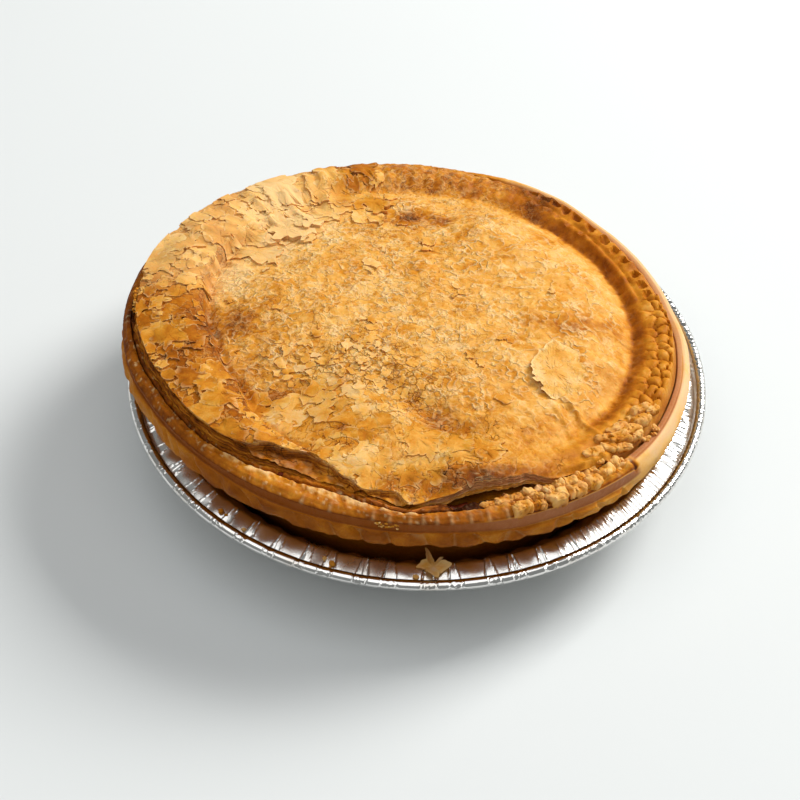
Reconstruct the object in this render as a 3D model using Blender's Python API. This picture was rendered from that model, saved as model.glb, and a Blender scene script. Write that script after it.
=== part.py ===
"""Beef pie in its foil tin: a pleated tin, a base crust with a thick trimmed rim, a baked lid of flaky
pastry and one loose flake that lies on the tin's flange. Metres, +Z up, origin at the middle of the
tin's underside. The lid's front edge, which is lifted, faces -Y."""

import bpy
import numpy as np

# Driving dimensions of the tin
TIN_RIM_RADIUS = 0.115
TIN_DEPTH = 0.032
TIN_FLOOR_RADIUS = 0.083
FOIL = 0.0006
PLEATS = 60

# Driving dimensions of the pie, whose rim stands proud of the tin, a little off its middle and tilted
RIM_RISE = 0.0195
RIM_TILT = (-0.037, -0.063)
PIE_SHIFT = (-0.0039, 0.003)
CUT_BAND = 0.0055
LIP_HEIGHT = 0.0135
LID_THICKNESS = 0.0045
GAP = 0.0003

# Tin sizes worked out from the driving ones
FLANGE_INNER = TIN_RIM_RADIUS - 0.016
BEAD_WIDTH = 0.0042
BEAD_HALF_HEIGHT = 0.0019
BEAD_INNER = TIN_RIM_RADIUS - BEAD_WIDTH
WALL_PLEAT = 0.0008
FLANGE_PLEAT = 0.0008

# Rays from the pie's middle: close together where the fork marks are, wider elsewhere
RAYS = 150
FORKED_RAYS = 54
FORK_MARKS = (-42.0, 66.0)
FORK_DEPTH = 0.0009

# The lid's mesh: rings that gain six points each out to the dome's edge, then full rings over the rim
DOME_RINGS = 20
DOME_RADIUS = 0.082
UNDER_RADIUS = 0.078
FLAKE_SPACING = 0.0095
SEED = 7

# Outline of the crust's rim, (degrees, radius), and how far the lid's edge lies inside it
RIM_KNOTS = [
    (0, 0.1108), (15, 0.1092), (28, 0.1080), (43, 0.1084), (57, 0.1110), (75, 0.1108), (90, 0.1110),
    (110, 0.1102), (130, 0.1098), (150, 0.1106), (168, 0.1120), (185, 0.1124), (199, 0.1124),
    (212, 0.1110), (247, 0.1106), (275, 0.1109), (300, 0.1114), (322, 0.1124), (345, 0.1114),
]
LID_INSET_KNOTS = [
    (0, 0.0058), (60, 0.0054), (85, 0.0042), (140, 0.0036), (168, 0.0044), (185, 0.0058), (200, 0.0078),
    (227, 0.0080), (237, 0.0094), (247, 0.0118), (256, 0.0116), (264, 0.0094), (271, 0.0066),
    (278, 0.0098), (286, 0.0124), (296, 0.0126), (304, 0.0100), (315, 0.0070), (335, 0.0060),
]

# Swells and hollows of the lid: middle x and y, half length, half width, turn in degrees, rise
SWELLS = [
    (-0.052, 0.002, 0.022, 0.018, 0, 0.0016), (0.060, 0.010, 0.024, 0.016, 80, 0.0016),
    (-0.010, 0.050, 0.020, 0.020, 0, -0.0014), (0.010, -0.068, 0.021, 0.008, -12, -0.0028),
    (0.034, -0.080, 0.018, 0.007, 12, 0.0016), (-0.058, -0.048, 0.014, 0.012, 0, -0.0016),
    (0.072, -0.056, 0.017, 0.004, -68, 0.0022), (0.022, 0.084, 0.014, 0.004, -18, 0.0016),
]
RAISED_FLAKE = (0.0625, -0.032, 0.012, 0.0015)


def smooth(x, low, high):
    """Rises from 0 at low to 1 at high, with level ends."""
    t = np.clip((x - low) / (high - low), 0, 1)
    return t * t * (3 - 2 * t)


def around(degrees, knots):
    """The value at each angle of a curve that runs smoothly through (degrees, value) knots and closes."""
    angles = np.array([knot[0] for knot in knots] + [knots[0][0] + 360.0])
    values = np.array([knot[1] for knot in knots] + [knots[0][1]])
    turned = (degrees - angles[0]) % 360.0 + angles[0]
    place = np.clip(np.searchsorted(angles, turned, "right") - 1, 0, len(knots) - 1)
    share = smooth(turned, angles[place], angles[place + 1])
    return values[place] + (values[place + 1] - values[place]) * share


def sector(degrees, start, stop, soft):
    """1 inside the sector from start to stop, fading to 0 over soft degrees outside it."""
    middle = (start + stop) / 2
    off = np.abs((degrees - middle + 180.0) % 360.0 - 180.0)
    return 1 - smooth(off, (stop - start) / 2, (stop - start) / 2 + soft)


def ray_angles(count=RAYS):
    """The angles in degrees of count points on a ring, closer together in the sector of the fork marks."""
    start, stop = FORK_MARKS
    share = np.arange(count) / count
    split = FORKED_RAYS / RAYS
    forked = start + (stop - start) * share / split
    plain = stop + (start + 360.0 - stop) * (share - split) / (1 - split)
    return np.where(share < split, forked, plain)


def zigzag(count):
    """Alternating 1 and -1."""
    return np.where(np.arange(count) % 2, 1.0, -1.0)


def rim_plane(x, y):
    """Height of the tilted plane through the top edge of the trimmed band, x and y from the pie's middle."""
    return TIN_DEPTH + RIM_RISE + RIM_TILT[0] * x + RIM_TILT[1] * y


def lid_edge(degrees):
    """Radius of the lid's outer edge: in a fold at the front, drawn back beside it, wide at the back."""
    return around(degrees, RIM_KNOTS) - around(degrees, LID_INSET_KNOTS)


def raised_ring(radius):
    """Height on the left: a groove, then a steep step to a broad raised ring of pastry."""
    dome = 0.0030 + 0.0075 * (1 - np.clip(radius / 0.078, 0, 1) ** 2.5)
    return dome + smooth(radius, 0.0775, 0.082) * 0.0062 - smooth(radius, 0.084, 0.110) * 0.0022


def roped_edge(radius):
    """Height on the right: the dome falls steeply into a valley inside the roped edge."""
    dome = 0.0010 + 0.0100 * (1 - np.clip(radius / 0.0915, 0, 1) ** 6)
    return dome + smooth(radius, 0.0915, 0.096) * 0.0042 - smooth(radius, 0.1000, 0.1050) * 0.0022


def back_rim(radius):
    """Height at the back: a shallow valley and a low flaky rim."""
    dome = 0.0025 + 0.0080 * (1 - np.clip(radius / 0.089, 0, 1) ** 3.5)
    return dome + smooth(radius, 0.089, 0.097) * 0.0028 - smooth(radius, 0.100, 0.107) * 0.0016


def front_slope(radius):
    """Height at the front: the dome runs out to a thin lifted edge."""
    return 0.0060 + 0.0045 * (1 - np.clip(radius / 0.098, 0, 1) ** 3)


def swells(x, y):
    """Height added by the lid's swells and hollows and by its large raised flake."""
    total = 0.0
    for cx, cy, length, width, turn, rise in SWELLS:
        along = (x - cx) * np.cos(np.radians(turn)) + (y - cy) * np.sin(np.radians(turn))
        across = (y - cy) * np.cos(np.radians(turn)) - (x - cx) * np.sin(np.radians(turn))
        total = total + rise * np.exp(-((along / length) ** 2) - (across / width) ** 2)
    cx, cy, reach, rise = RAISED_FLAKE
    away = np.hypot(x - cx, y - cy)
    return total + rise * (1 - smooth(away, reach - 0.001, reach + 0.003))


def lid_height(radius, degrees):
    """Height of the lid's top above the rim plane, before its flakes and fork marks."""
    ring = smooth(degrees % 360, 100, 166) * (1 - smooth(degrees % 360, 232, 256))
    rope = sector(degrees, -48, 62, 18)
    front = sector(degrees, 256, 304, 22)
    back = np.clip(1 - ring - rope - front, 0, 1)
    height = ring * raised_ring(radius) + rope * roped_edge(radius)
    height += front * front_slope(radius) + back * back_rim(radius)
    x = radius * np.cos(np.radians(degrees))
    y = radius * np.sin(np.radians(degrees))
    fold = 0.0018 * sector(degrees, 268, 275, 8) * smooth(radius, 0.076, 0.096)
    return height / (ring + rope + front + back) + swells(x, y) - fold


def flakes(x, y):
    """Relief of the broken flakes, from -1 to 1: each point takes the rise and tilt of the flake it lies on."""
    draw = np.random.default_rng(SEED)
    steps = np.arange(-0.114, 0.114, FLAKE_SPACING)
    cx, cy = (axis.ravel() for axis in np.meshgrid(steps, steps))
    cx = cx + draw.uniform(-0.4, 0.4, cx.shape) * FLAKE_SPACING
    cy = cy + draw.uniform(-0.4, 0.4, cy.shape) * FLAKE_SPACING
    rise, tilt_x, tilt_y = draw.uniform(-0.5, 0.5, (3, len(cx)))
    flake = np.argmin((x[:, None] - cx) ** 2 + (y[:, None] - cy) ** 2, axis=1)
    off_x = (x - cx[flake]) / FLAKE_SPACING
    off_y = (y - cy[flake]) / FLAKE_SPACING
    return rise[flake] + tilt_x[flake] * off_x + tilt_y[flake] * off_y


def flake_depth(radius, degrees):
    """How strong the flakes are: boldest on the raised ring at the left, mild in the middle."""
    left = sector(degrees, 120, 262, 25)
    return 0.0004 + left * smooth(radius, 0.055, 0.075) * (0.0005 + 0.0008 * smooth(radius, 0.078, 0.084))


def lid_top(radius, degrees, marks=0.0):
    """A ring of points on the lid's flaky top, with a share of the fork marks where they cross it."""
    radius = radius + 0 * degrees
    x = radius * np.cos(np.radians(degrees))
    y = radius * np.sin(np.radians(degrees))
    height = lid_height(radius, degrees) + flakes(x, y) * flake_depth(radius, degrees)
    return on_rim_plane(radius, height + marks, degrees)


def lid_underside(radius, degrees):
    """Height of the lid's underside above the rim plane: on its seat at the edge, lifted in an arch in front."""
    edge = lid_edge(degrees)
    seat = 0.0018 - 0.0035 * sector(degrees, -48, 66, 14)
    hung = lid_height(radius, degrees) - LID_THICKNESS
    near_edge = smooth(radius, edge - 0.012, edge - 0.004)
    arch = 0.0024 * sector(degrees, 284, 300, 5) * near_edge
    return hung * (1 - near_edge) + seat * near_edge + arch


def seat_height(radius, degrees):
    """Height of the crust under the lid, which dips where the lid arches off it."""
    edge = lid_edge(degrees)
    hollow = sector(degrees, 281, 303, 5) * smooth(radius, edge - 0.014, edge - 0.006)
    return lid_underside(radius, degrees) - GAP - 0.0034 * hollow


def ring_points(radius, height, degrees, shift=1.0):
    """A ring of points about the pie's middle, which is moved by a share of its shift. Height is absolute."""
    turn = np.radians(degrees)
    x = radius * np.cos(turn) + PIE_SHIFT[0] * shift
    y = radius * np.sin(turn) + PIE_SHIFT[1] * shift
    return np.stack([x, y, height + 0 * x], axis=1)


def on_rim_plane(radius, height, degrees):
    """A ring of points at a height above the rim plane."""
    turn = np.radians(degrees)
    plane = rim_plane(radius * np.cos(turn), radius * np.sin(turn))
    return ring_points(radius + 0 * turn, plane + height, degrees)


def under_rings(height, degrees):
    """Rings from the lid's edge inwards. The lid and its seat share them, so their facets run side by side."""
    edge = lid_edge(degrees)
    insets = [on_rim_plane(edge - inset, height(edge - inset, degrees), degrees) for inset in (0.004, 0.012)]
    return insets + [on_rim_plane(UNDER_RADIUS, height(UNDER_RADIUS + 0 * degrees, degrees), degrees)]


def strip(near, near_count, far, far_count):
    """Triangles between two closed rings of points, each given by its first index and its count."""
    faces = []
    i = j = 0
    while i < near_count or j < far_count:
        here, there = near + i % near_count, far + j % far_count
        if (i + 1) / near_count <= (j + 1) / far_count:
            i += 1
            faces.append((here, near + i % near_count, there))
        else:
            j += 1
            faces.append((here, far + j % far_count, there))
    return faces


def loft(name, first, rings, last, outward=True):
    """Makes one closed object through rings of points, from one middle point to the other."""
    points = [first] + [point for ring in rings for point in ring] + [last]
    starts = np.cumsum([1] + [len(ring) for ring in rings])
    count = len(rings[0])
    faces = [(0, 1 + (i + 1) % count, 1 + i) for i in range(count)]
    for ring in range(len(rings) - 1):
        faces += strip(starts[ring], len(rings[ring]), starts[ring + 1], len(rings[ring + 1]))
    near, count = starts[len(rings) - 1], len(rings[-1])
    faces += [(near + i, near + (i + 1) % count, len(points) - 1) for i in range(count)]
    if not outward:
        faces = [face[::-1] for face in faces]
    return solid(name, points, faces)


def solid(name, points, faces):
    """Makes an object in the scene from its points and faces."""
    mesh = bpy.data.meshes.new(name)
    plain_faces = [[int(index) for index in face] for face in faces]
    mesh.from_pydata([[float(value) for value in point] for point in points], [], plain_faces)
    made = bpy.data.objects.new(name, mesh)
    bpy.context.scene.collection.objects.link(made)
    return made


def paint(made, name, colour, roughness, metallic=0.0):
    """Gives an object its own Principled material."""
    material = bpy.data.materials.new(name)
    material.use_nodes = True
    shader = material.node_tree.nodes["Principled BSDF"]
    shader.inputs["Base Color"].default_value = (*colour, 1.0)
    shader.inputs["Roughness"].default_value = roughness
    shader.inputs["Metallic"].default_value = metallic
    made.data.materials.append(material)


def make_tin():
    """The pleated foil tin: floor, sloping wall, flange and the rolled bead round its rim."""
    turn = np.arange(2 * PLEATS) * np.pi / PLEATS
    folded = zigzag(2 * PLEATS)

    def ring(radius, height, wall=0.0, flange=0.0):
        pleated = radius + wall * WALL_PLEAT * folded
        raised = height + flange * FLANGE_PLEAT * folded
        return np.stack([pleated * np.cos(turn), pleated * np.sin(turn), raised], axis=1)

    bead_middle = TIN_RIM_RADIUS - BEAD_WIDTH / 2
    rings = [
        ring(TIN_FLOOR_RADIUS - 0.003, 0.0),
        ring(TIN_FLOOR_RADIUS + 0.0004, 0.0022, wall=0.3),
        ring(FLANGE_INNER + 0.0002, TIN_DEPTH - 0.0036, wall=1.0),
        ring(FLANGE_INNER + 0.0018, TIN_DEPTH - 0.0022 - FOIL, wall=0.6, flange=1.0),
        ring(BEAD_INNER, TIN_DEPTH - 0.0010 - FOIL, flange=0.4),
        ring(bead_middle, TIN_DEPTH - BEAD_HALF_HEIGHT),
        ring(TIN_RIM_RADIUS, TIN_DEPTH),
        ring(bead_middle, TIN_DEPTH + BEAD_HALF_HEIGHT),
        ring(BEAD_INNER - 0.0004, TIN_DEPTH - 0.0008, flange=0.4),
        ring(FLANGE_INNER + 0.0012, TIN_DEPTH - 0.0022, wall=0.6, flange=1.0),
        ring(FLANGE_INNER - 0.0004, TIN_DEPTH - 0.0036, wall=1.0),
        ring(TIN_FLOOR_RADIUS - 0.0002, 0.0024, wall=0.3),
        ring(TIN_FLOOR_RADIUS - 0.0032, FOIL),
    ]
    tin = loft("foil_tin", (0, 0, 0), rings, (0, 0, FOIL))
    paint(tin, "foil", (0.80, 0.80, 0.82), 0.25, metallic=1.0)


def make_base_crust():
    """The base crust: a body in the tin, an undercut lip with flutes and a trimmed band. Its rim's top is a
    crumbly ledge at the front and left, and a smooth rounded tube on the right."""
    degrees = ray_angles()
    rim = around(degrees, RIM_KNOTS)
    edge = lid_edge(degrees)
    turn = np.radians(degrees)
    plane = rim_plane(rim * np.cos(turn), rim * np.sin(turn))
    lip = np.minimum(LIP_HEIGHT, plane - TIN_DEPTH - BEAD_HALF_HEIGHT - 0.001)
    draw = np.random.default_rng(SEED)
    tube = sector(degrees, -40, 62, 12)
    ledge = 1 - tube
    crag = draw.uniform(-0.0003, 0.0003, RAYS) * ledge
    flute = 0.0005 * zigzag(RAYS) * sector(degrees, 195, 318, 20)
    crimp = 0.0007 * zigzag(RAYS) * sector(degrees, 294, 314, 5) * ledge
    floor = FOIL + GAP

    def rim_ring(ledge_inset, ledge_height, tube_inset, tube_height):
        inset = ledge_inset * ledge + tube_inset * tube
        return ring_points(rim - inset, plane + ledge_height * ledge + tube_height * tube, degrees)

    rings = [
        ring_points(0.0785, floor, degrees, shift=0.0),
        ring_points(0.0812, floor + 0.0025, degrees, shift=0.0),
        ring_points(0.0945, TIN_DEPTH - 0.003, degrees, shift=0.3),
        ring_points(0.0960, TIN_DEPTH + 0.0015, degrees, shift=0.4),
        rim_ring(0.0050, -lip, 0.0050, -lip),
        rim_ring(-flute, -0.84 * lip, 0.0012, -0.86 * lip),
        rim_ring(-0.0001 - 0.7 * flute, -CUT_BAND - 0.0006, 0.0, -0.0065),
        rim_ring(0.0010, -CUT_BAND + 0.0002, -0.0002, -0.0036),
        rim_ring(0.0004, 0.0, 0.0006, -0.0010),
        rim_ring(0.0016, 0.0010 + crag, 0.0022, 0.0006),
    ]
    ledge_inner = edge + 0.0012 * ledge + 0.0017 * tube
    rings.append(on_rim_plane(ledge_inner, 0.0014 * ledge + 2 * crag + crimp - 0.0004 * tube, degrees))
    rings.append(on_rim_plane(edge + 0.0006, seat_height(edge, degrees), degrees))
    rings += under_rings(seat_height, degrees)
    middle = (*PIE_SHIFT, rim_plane(0, 0) + float(seat_height(0.0, np.zeros(1))[0]))
    crust = loft("base_crust", (0, 0, floor), rings, middle)
    paint(crust, "crust", (0.62, 0.34, 0.11), 0.7)


def make_lid():
    """The lid: a domed sheet of flaky pastry with its forked, layered or lifted edge."""
    degrees = ray_angles()
    edge = lid_edge(degrees)
    forked = zigzag(RAYS) * (np.arange(RAYS) < FORKED_RAYS)
    rings = []
    for ring in range(1, DOME_RINGS + 1):
        rings.append(lid_top(DOME_RADIUS * ring / DOME_RINGS, ray_angles(6 * ring)))
    for share, mark in ((0.18, 0.0), (0.38, 0.0), (0.52, 0.3), (0.63, 1.0), (0.77, -0.3), (0.90, 1.0)):
        rings.append(lid_top(DOME_RADIUS + (edge - DOME_RADIUS) * share, degrees, FORK_DEPTH * mark * forked))
    top = lid_height(edge, degrees)
    bottom = lid_underside(edge, degrees)
    rings.append(on_rim_plane(edge, top * 0.9 + bottom * 0.1, degrees))
    rings.append(on_rim_plane(edge - 0.0008, top * 0.45 + bottom * 0.55, degrees))
    rings.append(on_rim_plane(edge - 0.0002, bottom, degrees))
    rings += under_rings(lid_underside, degrees)
    plane = rim_plane(0, 0)
    centre = np.zeros(1)
    top_middle = (*PIE_SHIFT, plane + float(lid_height(0.0, centre)[0]))
    under_middle = (*PIE_SHIFT, plane + float(lid_underside(0.0, centre)[0]))
    lid = loft("lid", top_middle, rings, under_middle, outward=False)
    paint(lid, "lid_pastry", (0.72, 0.44, 0.16), 0.6)


def make_loose_flake():
    """A thin wavy flake of pastry with a jagged outline, lying on the flange at the front of the tin."""
    middle = (0.0088, -0.1040)
    reach = np.array([5.6, 3.9, 6.6, 4.6, 5.2, 3.6, 5.8, 6.4, 4.2, 5.4, 4.0, 6.2, 4.4, 5.0]) / 1000
    turn = np.arange(len(reach)) * 2 * np.pi / len(reach)
    thickness = 0.0007

    def ring(share, above):
        x = middle[0] + share * reach * np.cos(turn)
        y = middle[1] + share * reach * np.sin(turn)
        rise = 0.0003 + 0.0005 * (1 + np.sin(3 * turn)) * share
        slope = 0.06 * (np.hypot(x, y) - FLANGE_INNER)
        return np.stack([x, y, TIN_DEPTH - 0.0010 + GAP + slope + rise + above], axis=1)

    under = ring(0.0, 0.0)[0]
    rings = [ring(0.5, 0.0), ring(1.0, 0.0), ring(1.0, thickness), ring(0.5, thickness)]
    flake = loft("loose_flake", under, rings, under + (0, 0, thickness))
    paint(flake, "flake_pastry", (0.86, 0.58, 0.24), 0.6)


for old in list(bpy.data.objects):
    bpy.data.objects.remove(old)
make_tin()
make_base_crust()
make_lid()
make_loose_flake()
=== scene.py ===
import bpy
import numpy as np
from mathutils import Matrix, Vector


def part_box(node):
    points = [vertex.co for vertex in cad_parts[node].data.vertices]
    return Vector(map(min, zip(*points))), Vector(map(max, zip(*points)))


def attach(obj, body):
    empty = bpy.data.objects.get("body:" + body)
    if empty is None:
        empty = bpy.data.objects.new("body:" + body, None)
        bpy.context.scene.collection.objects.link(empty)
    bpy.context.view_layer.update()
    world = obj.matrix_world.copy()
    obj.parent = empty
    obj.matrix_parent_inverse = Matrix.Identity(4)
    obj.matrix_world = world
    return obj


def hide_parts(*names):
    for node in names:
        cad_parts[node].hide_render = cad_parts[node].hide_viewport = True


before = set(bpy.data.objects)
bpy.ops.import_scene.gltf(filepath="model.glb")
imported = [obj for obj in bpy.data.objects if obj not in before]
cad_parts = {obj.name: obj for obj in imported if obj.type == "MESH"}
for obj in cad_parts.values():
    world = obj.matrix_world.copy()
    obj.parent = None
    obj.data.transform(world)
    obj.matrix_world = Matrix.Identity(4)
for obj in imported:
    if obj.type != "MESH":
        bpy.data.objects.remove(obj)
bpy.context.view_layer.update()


# Studio: a pale sweep of floor under even white light, with one large soft window high at the back right.
# The camera stands in front, looks down at 44.5 degrees and is rolled a little.
CAMERA_AIM = Vector((-0.0065, -0.01826, 0.032))
CAMERA_DISTANCE = 0.8
CAMERA_ELEVATION = np.radians(44.5)
CAMERA_ROLL = np.radians(2.72)
SENSOR = 36.0
LENS = 91.56
FLOOR_HALF = 4.0
# Each lamp: its name, spot and size in metres, watts and colour.
LAMPS = [
    ("window", (1.32, 1.01, 1.41), 1.0, 57.0, (1.0, 0.985, 0.95)),
    ("overhead_panel", (-0.25, -0.35, 1.7), 2.2, 17.0, (1.0, 0.995, 0.985)),
]
AIR_COLOUR = (0.855, 0.888, 0.880, 1)
AIR_STRENGTH = 0.27
FLOOR_DARK = (0.665, 0.688, 0.695, 1)
FLOOR_PALE = (0.685, 0.708, 0.715, 1)

ahead = Vector((0, np.cos(CAMERA_ELEVATION), -np.sin(CAMERA_ELEVATION)))
across = Vector((1, 0, 0))
above = across.cross(ahead)
camera_x = across * np.cos(CAMERA_ROLL) + above * np.sin(CAMERA_ROLL)
camera_y = above * np.cos(CAMERA_ROLL) - across * np.sin(CAMERA_ROLL)
camera = bpy.data.objects.new("camera", bpy.data.cameras.new("camera"))
bpy.context.scene.collection.objects.link(camera)
camera.data.sensor_width = SENSOR
camera.data.lens = LENS
camera.data.clip_start = 0.01
camera.matrix_world = (
    Matrix.Translation(CAMERA_AIM - ahead * CAMERA_DISTANCE)
    @ Matrix((camera_x, camera_y, -ahead)).transposed().to_4x4()
)
bpy.context.scene.camera = camera
for name, spot, size, watts, colour in LAMPS:
    lamp = bpy.data.objects.new(name, bpy.data.lights.new(name, "AREA"))
    bpy.context.scene.collection.objects.link(lamp)
    lamp.data.size = size
    lamp.data.energy = watts
    lamp.data.color = colour
    lamp.location = spot
    lamp.rotation_euler = (-Vector(spot)).to_track_quat("-Z", "Y").to_euler()
world = bpy.data.worlds.new("studio")
world.use_nodes = True
air = world.node_tree.nodes["Background"].inputs
air["Color"].default_value = AIR_COLOUR
air["Strength"].default_value = AIR_STRENGTH
bpy.context.scene.world = world
bpy.context.scene.view_settings.view_transform = "Standard"


class Socket:
    """One output in a material's node tree. Sums of sockets and numbers add Math nodes to that tree."""

    def __init__(self, tree, output=None):
        self.tree = tree
        self.output = output

    def node(self, kind, settings=(), inputs=(), output=0):
        """Adds a node: settings first, ramp stops among them, then values or links of its sockets."""
        made = self.tree.nodes.new(kind)
        for name, value in dict(settings).items():
            if name != "stops":
                setattr(made, name, value)
                continue
            ramp = made.color_ramp
            ramp.elements[0].position = value[0][0]
            ramp.elements[0].color = (*value[0][1], 1)
            ramp.elements[1].position = value[-1][0]
            ramp.elements[1].color = (*value[-1][1], 1)
            for position, colour in value[1:-1]:
                ramp.elements.new(position).color = (*colour, 1)
        for name, value in dict(inputs).items():
            if isinstance(value, Socket):
                self.tree.links.new(value.output, made.inputs[name])
            else:
                made.inputs[name].default_value = value
        return Socket(self.tree, made.outputs[output] if made.outputs else None)

    def sum(self, operation, *values, clamp=False):
        return self.node("ShaderNodeMath", {"operation": operation, "use_clamp": clamp}, enumerate(values))

    def __add__(self, other):
        return self.sum("ADD", self, other)

    def __sub__(self, other):
        return self.sum("SUBTRACT", self, other)

    def __rsub__(self, other):
        return self.sum("SUBTRACT", other, self)

    def __mul__(self, other):
        return self.sum("MULTIPLY", self, other)

    def __abs__(self):
        return self.sum("ABSOLUTE", self)

    __radd__ = __add__
    __rmul__ = __mul__

    def held(self):
        """The same value, held between 0 and 1."""
        return self.sum("ADD", self, 0.0, clamp=True)

    def rise(self, low, high):
        """0 up to low and 1 from high on."""
        inputs = {"Value": self, "From Min": low, "From Max": high}
        return self.node("ShaderNodeMapRange", {"interpolation_type": "SMOOTHSTEP"}, inputs)

    def mark(self, name):
        """The number that the mesh keeps at each point under this name."""
        return self.node("ShaderNodeAttribute", {"attribute_name": name}, output="Fac")

    def place(self, size, stretch=(1, 1, 1), shift=0.0):
        """Where a point lies, counted in steps of a size in metres that may be stretched along the axes."""
        scaled = {1: tuple(1 / (size * part) for part in stretch), 2: (shift, shift, shift)}
        scaled[0] = self.node("ShaderNodeTexCoord", output="Object")
        return self.node("ShaderNodeVectorMath", {"operation": "MULTIPLY_ADD"}, scaled)

    def noise(self, size, detail=2.0, stretch=(1, 1, 1), rough=0.5, shift=0.0):
        """Random waves of a size in metres, from 0 to 1. Each shift has its own."""
        inputs = {"Vector": self.place(size, stretch, shift), "Detail": detail, "Roughness": rough}
        return self.node("ShaderNodeTexNoise", {}, {"Scale": 1.0, **inputs})

    def fissures(self, size, torn, shift=0.0):
        """How far the nearest crack is, on a surface broken into patches of a size in metres."""
        place = self.place(size, shift=shift)
        bend = {"Vector": place, "Scale": 2.2, "Detail": 4.0}
        bend = self.node("ShaderNodeTexNoise", {}, bend, output="Color")
        moved = {0: bend, 1: (torn, torn, torn), 2: place}
        moved = self.node("ShaderNodeVectorMath", {"operation": "MULTIPLY_ADD"}, moved)
        nearest = {"feature": "DISTANCE_TO_EDGE"}
        return self.node("ShaderNodeTexVoronoi", nearest, {"Vector": moved, "Scale": 1.0})

    def mix(self, first, second, blend="MIX"):
        """A colour between two others, by this value."""
        inputs = {0: self, 6: first, 7: second}
        return self.node("ShaderNodeMix", {"data_type": "RGBA", "blend_type": blend}, inputs, output=2)

    def bump(self, depth):
        """A normal bent by this value, as a relief of a depth in metres."""
        return self.node("ShaderNodeBump", {}, {"Height": self, "Distance": depth, "Strength": 1.0})


def new_finish(name):
    """A material without nodes, and the Socket that adds nodes to it."""
    material = bpy.data.materials.new(name)
    material.use_nodes = True
    material.node_tree.nodes.clear()
    return material, Socket(material.node_tree)


def surface(sums, inputs):
    """Ends a finish in its shader."""
    shader = sums.node("ShaderNodeBsdfPrincipled", {}, inputs)
    sums.node("ShaderNodeOutputMaterial", {}, {"Surface": shader})


floor_finish, sums = new_finish("studio_floor")
mottle = sums.noise(0.25, detail=3)
surface(sums, {
    "Base Color": mottle.mix(FLOOR_DARK, FLOOR_PALE),
    "Roughness": 0.9,
    "Specular IOR Level": 0.1,
})
floor_mesh = bpy.data.meshes.new("studio_floor")
floor_corners = [(x * FLOOR_HALF, y * FLOOR_HALF, 0) for x, y in ((-1, -1), (1, -1), (1, 1), (-1, 1))]
floor_mesh.from_pydata(floor_corners, [], [(0, 1, 2, 3)])
floor_mesh.materials.append(floor_finish)
floor = bpy.data.objects.new("studio_floor", floor_mesh)
bpy.context.scene.collection.objects.link(floor)


# Foil tin: pressed from one round of thin aluminium sheet. The spare metal of its wall and flange is
# gathered into 60 pleats, whose creases fan out over the flange, and the edge is rolled into a bead that
# the press crimps at each pleat. Fat from baking has left a thin ochre line inside the bead.
RIM_RADIUS, TIN_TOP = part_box("foil_tin")[1].xz
BEAD_HALF_HEIGHT = 0.0019
BEAD_WIDTH = 0.0042
TIN_DEPTH = TIN_TOP - BEAD_HALF_HEIGHT
TIN_FLOOR_RADIUS = 0.083
FOIL = 0.0006
FLANGE_INNER = RIM_RADIUS - 0.016
BEAD_INNER = RIM_RADIUS - BEAD_WIDTH
PLEATS = 60
TIN_RAYS = 35 * PLEATS
WALL_PLEAT = 0.0008
CREASE_HEIGHT = 0.0012
CROWDED_CREASES = 6
CROWDED_SIDE = 58.0
DENT = 0.16
CRIMPED_RINGS = 8
FOIL_BRIGHT = (0.83, 0.815, 0.79, 1)
FOIL_SMEARED = (0.73, 0.69, 0.64, 1)
# Painted shade: a dark line along the bead's inner side, where it meets the flange, stands in for the shade
# and dark reflections in that groove.
FOIL_PAINTED_SHADE = (0.20, 0.18, 0.17, 1)
BAKED_FAT = (0.38, 0.23, 0.09, 1)


def smooth(x, low, high):
    """Rises from 0 at low to 1 at high, with level ends."""
    t = np.clip((x - low) / (high - low), 0, 1)
    return t * t * (3 - 2 * t)


def signed(degrees):
    """The same angle between -180 and 180 degrees."""
    return (degrees + 180) % 360 - 180


def xyz(x, y, z=0.0):
    """Places as rows of x, y and z. z may be one number for all."""
    return np.stack([x, y, z + 0 * x], axis=1)


def on_ring(radius, turn, z=0.0):
    """Places on a ring about the middle, at angles in radians."""
    return xyz(radius * np.cos(turn), radius * np.sin(turn), z)


def waves(places, size, seed):
    """Smooth random waves of one size at an array of places, from about -1 to 1."""
    slopes = np.random.default_rng(seed).normal(0, 1, (32, 32, 32, 3))
    cell = np.floor(places / size).astype(int)
    part = places / size - cell
    ease = part * part * (3 - 2 * part)
    total = np.zeros(len(places))
    for corner in np.ndindex(2, 2, 2):
        slope = slopes[tuple(((cell + corner) % 32).T)]
        weight = np.prod(np.where(corner, ease, 1 - ease), axis=1)
        total += weight * np.sum(slope * (part - corner), axis=1)
    return total


def rough_waves(places, size, seed, octaves=3):
    """Waves of several sizes together, each half the size and height of the one before."""
    return sum(waves(places, size / 2**octave, seed + octave) / 2**octave for octave in range(octaves))


def piece(name, points, faces, finish, marks, crease=40.0):
    """Makes a piece from its points and faces. Marks are numbers at the points that its finish reads."""
    mesh = bpy.data.meshes.new(name)
    mesh.from_pydata(np.asarray(points).tolist(), [], faces)
    for mark, values in marks.items():
        mesh.attributes.new(mark, "FLOAT", "POINT").data.foreach_set("value", np.asarray(values, np.float32))
    mesh.materials.append(finish)
    mesh.shade_smooth()
    mesh.set_sharp_from_angle(angle=np.radians(crease))
    made = bpy.data.objects.new(name, mesh)
    bpy.context.scene.collection.objects.link(made)
    return made


def strip(near, near_count, far, far_count):
    """Triangles between two closed rings of points, each given by its first index and its count."""
    faces = []
    i = j = 0
    while i < near_count or j < far_count:
        here, there = near + i % near_count, far + j % far_count
        if (i + 1) * far_count <= (j + 1) * near_count:
            i += 1
            faces.append((here, near + i % near_count, there))
        else:
            j += 1
            faces.append((here, far + j % far_count, there))
    return faces


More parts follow.
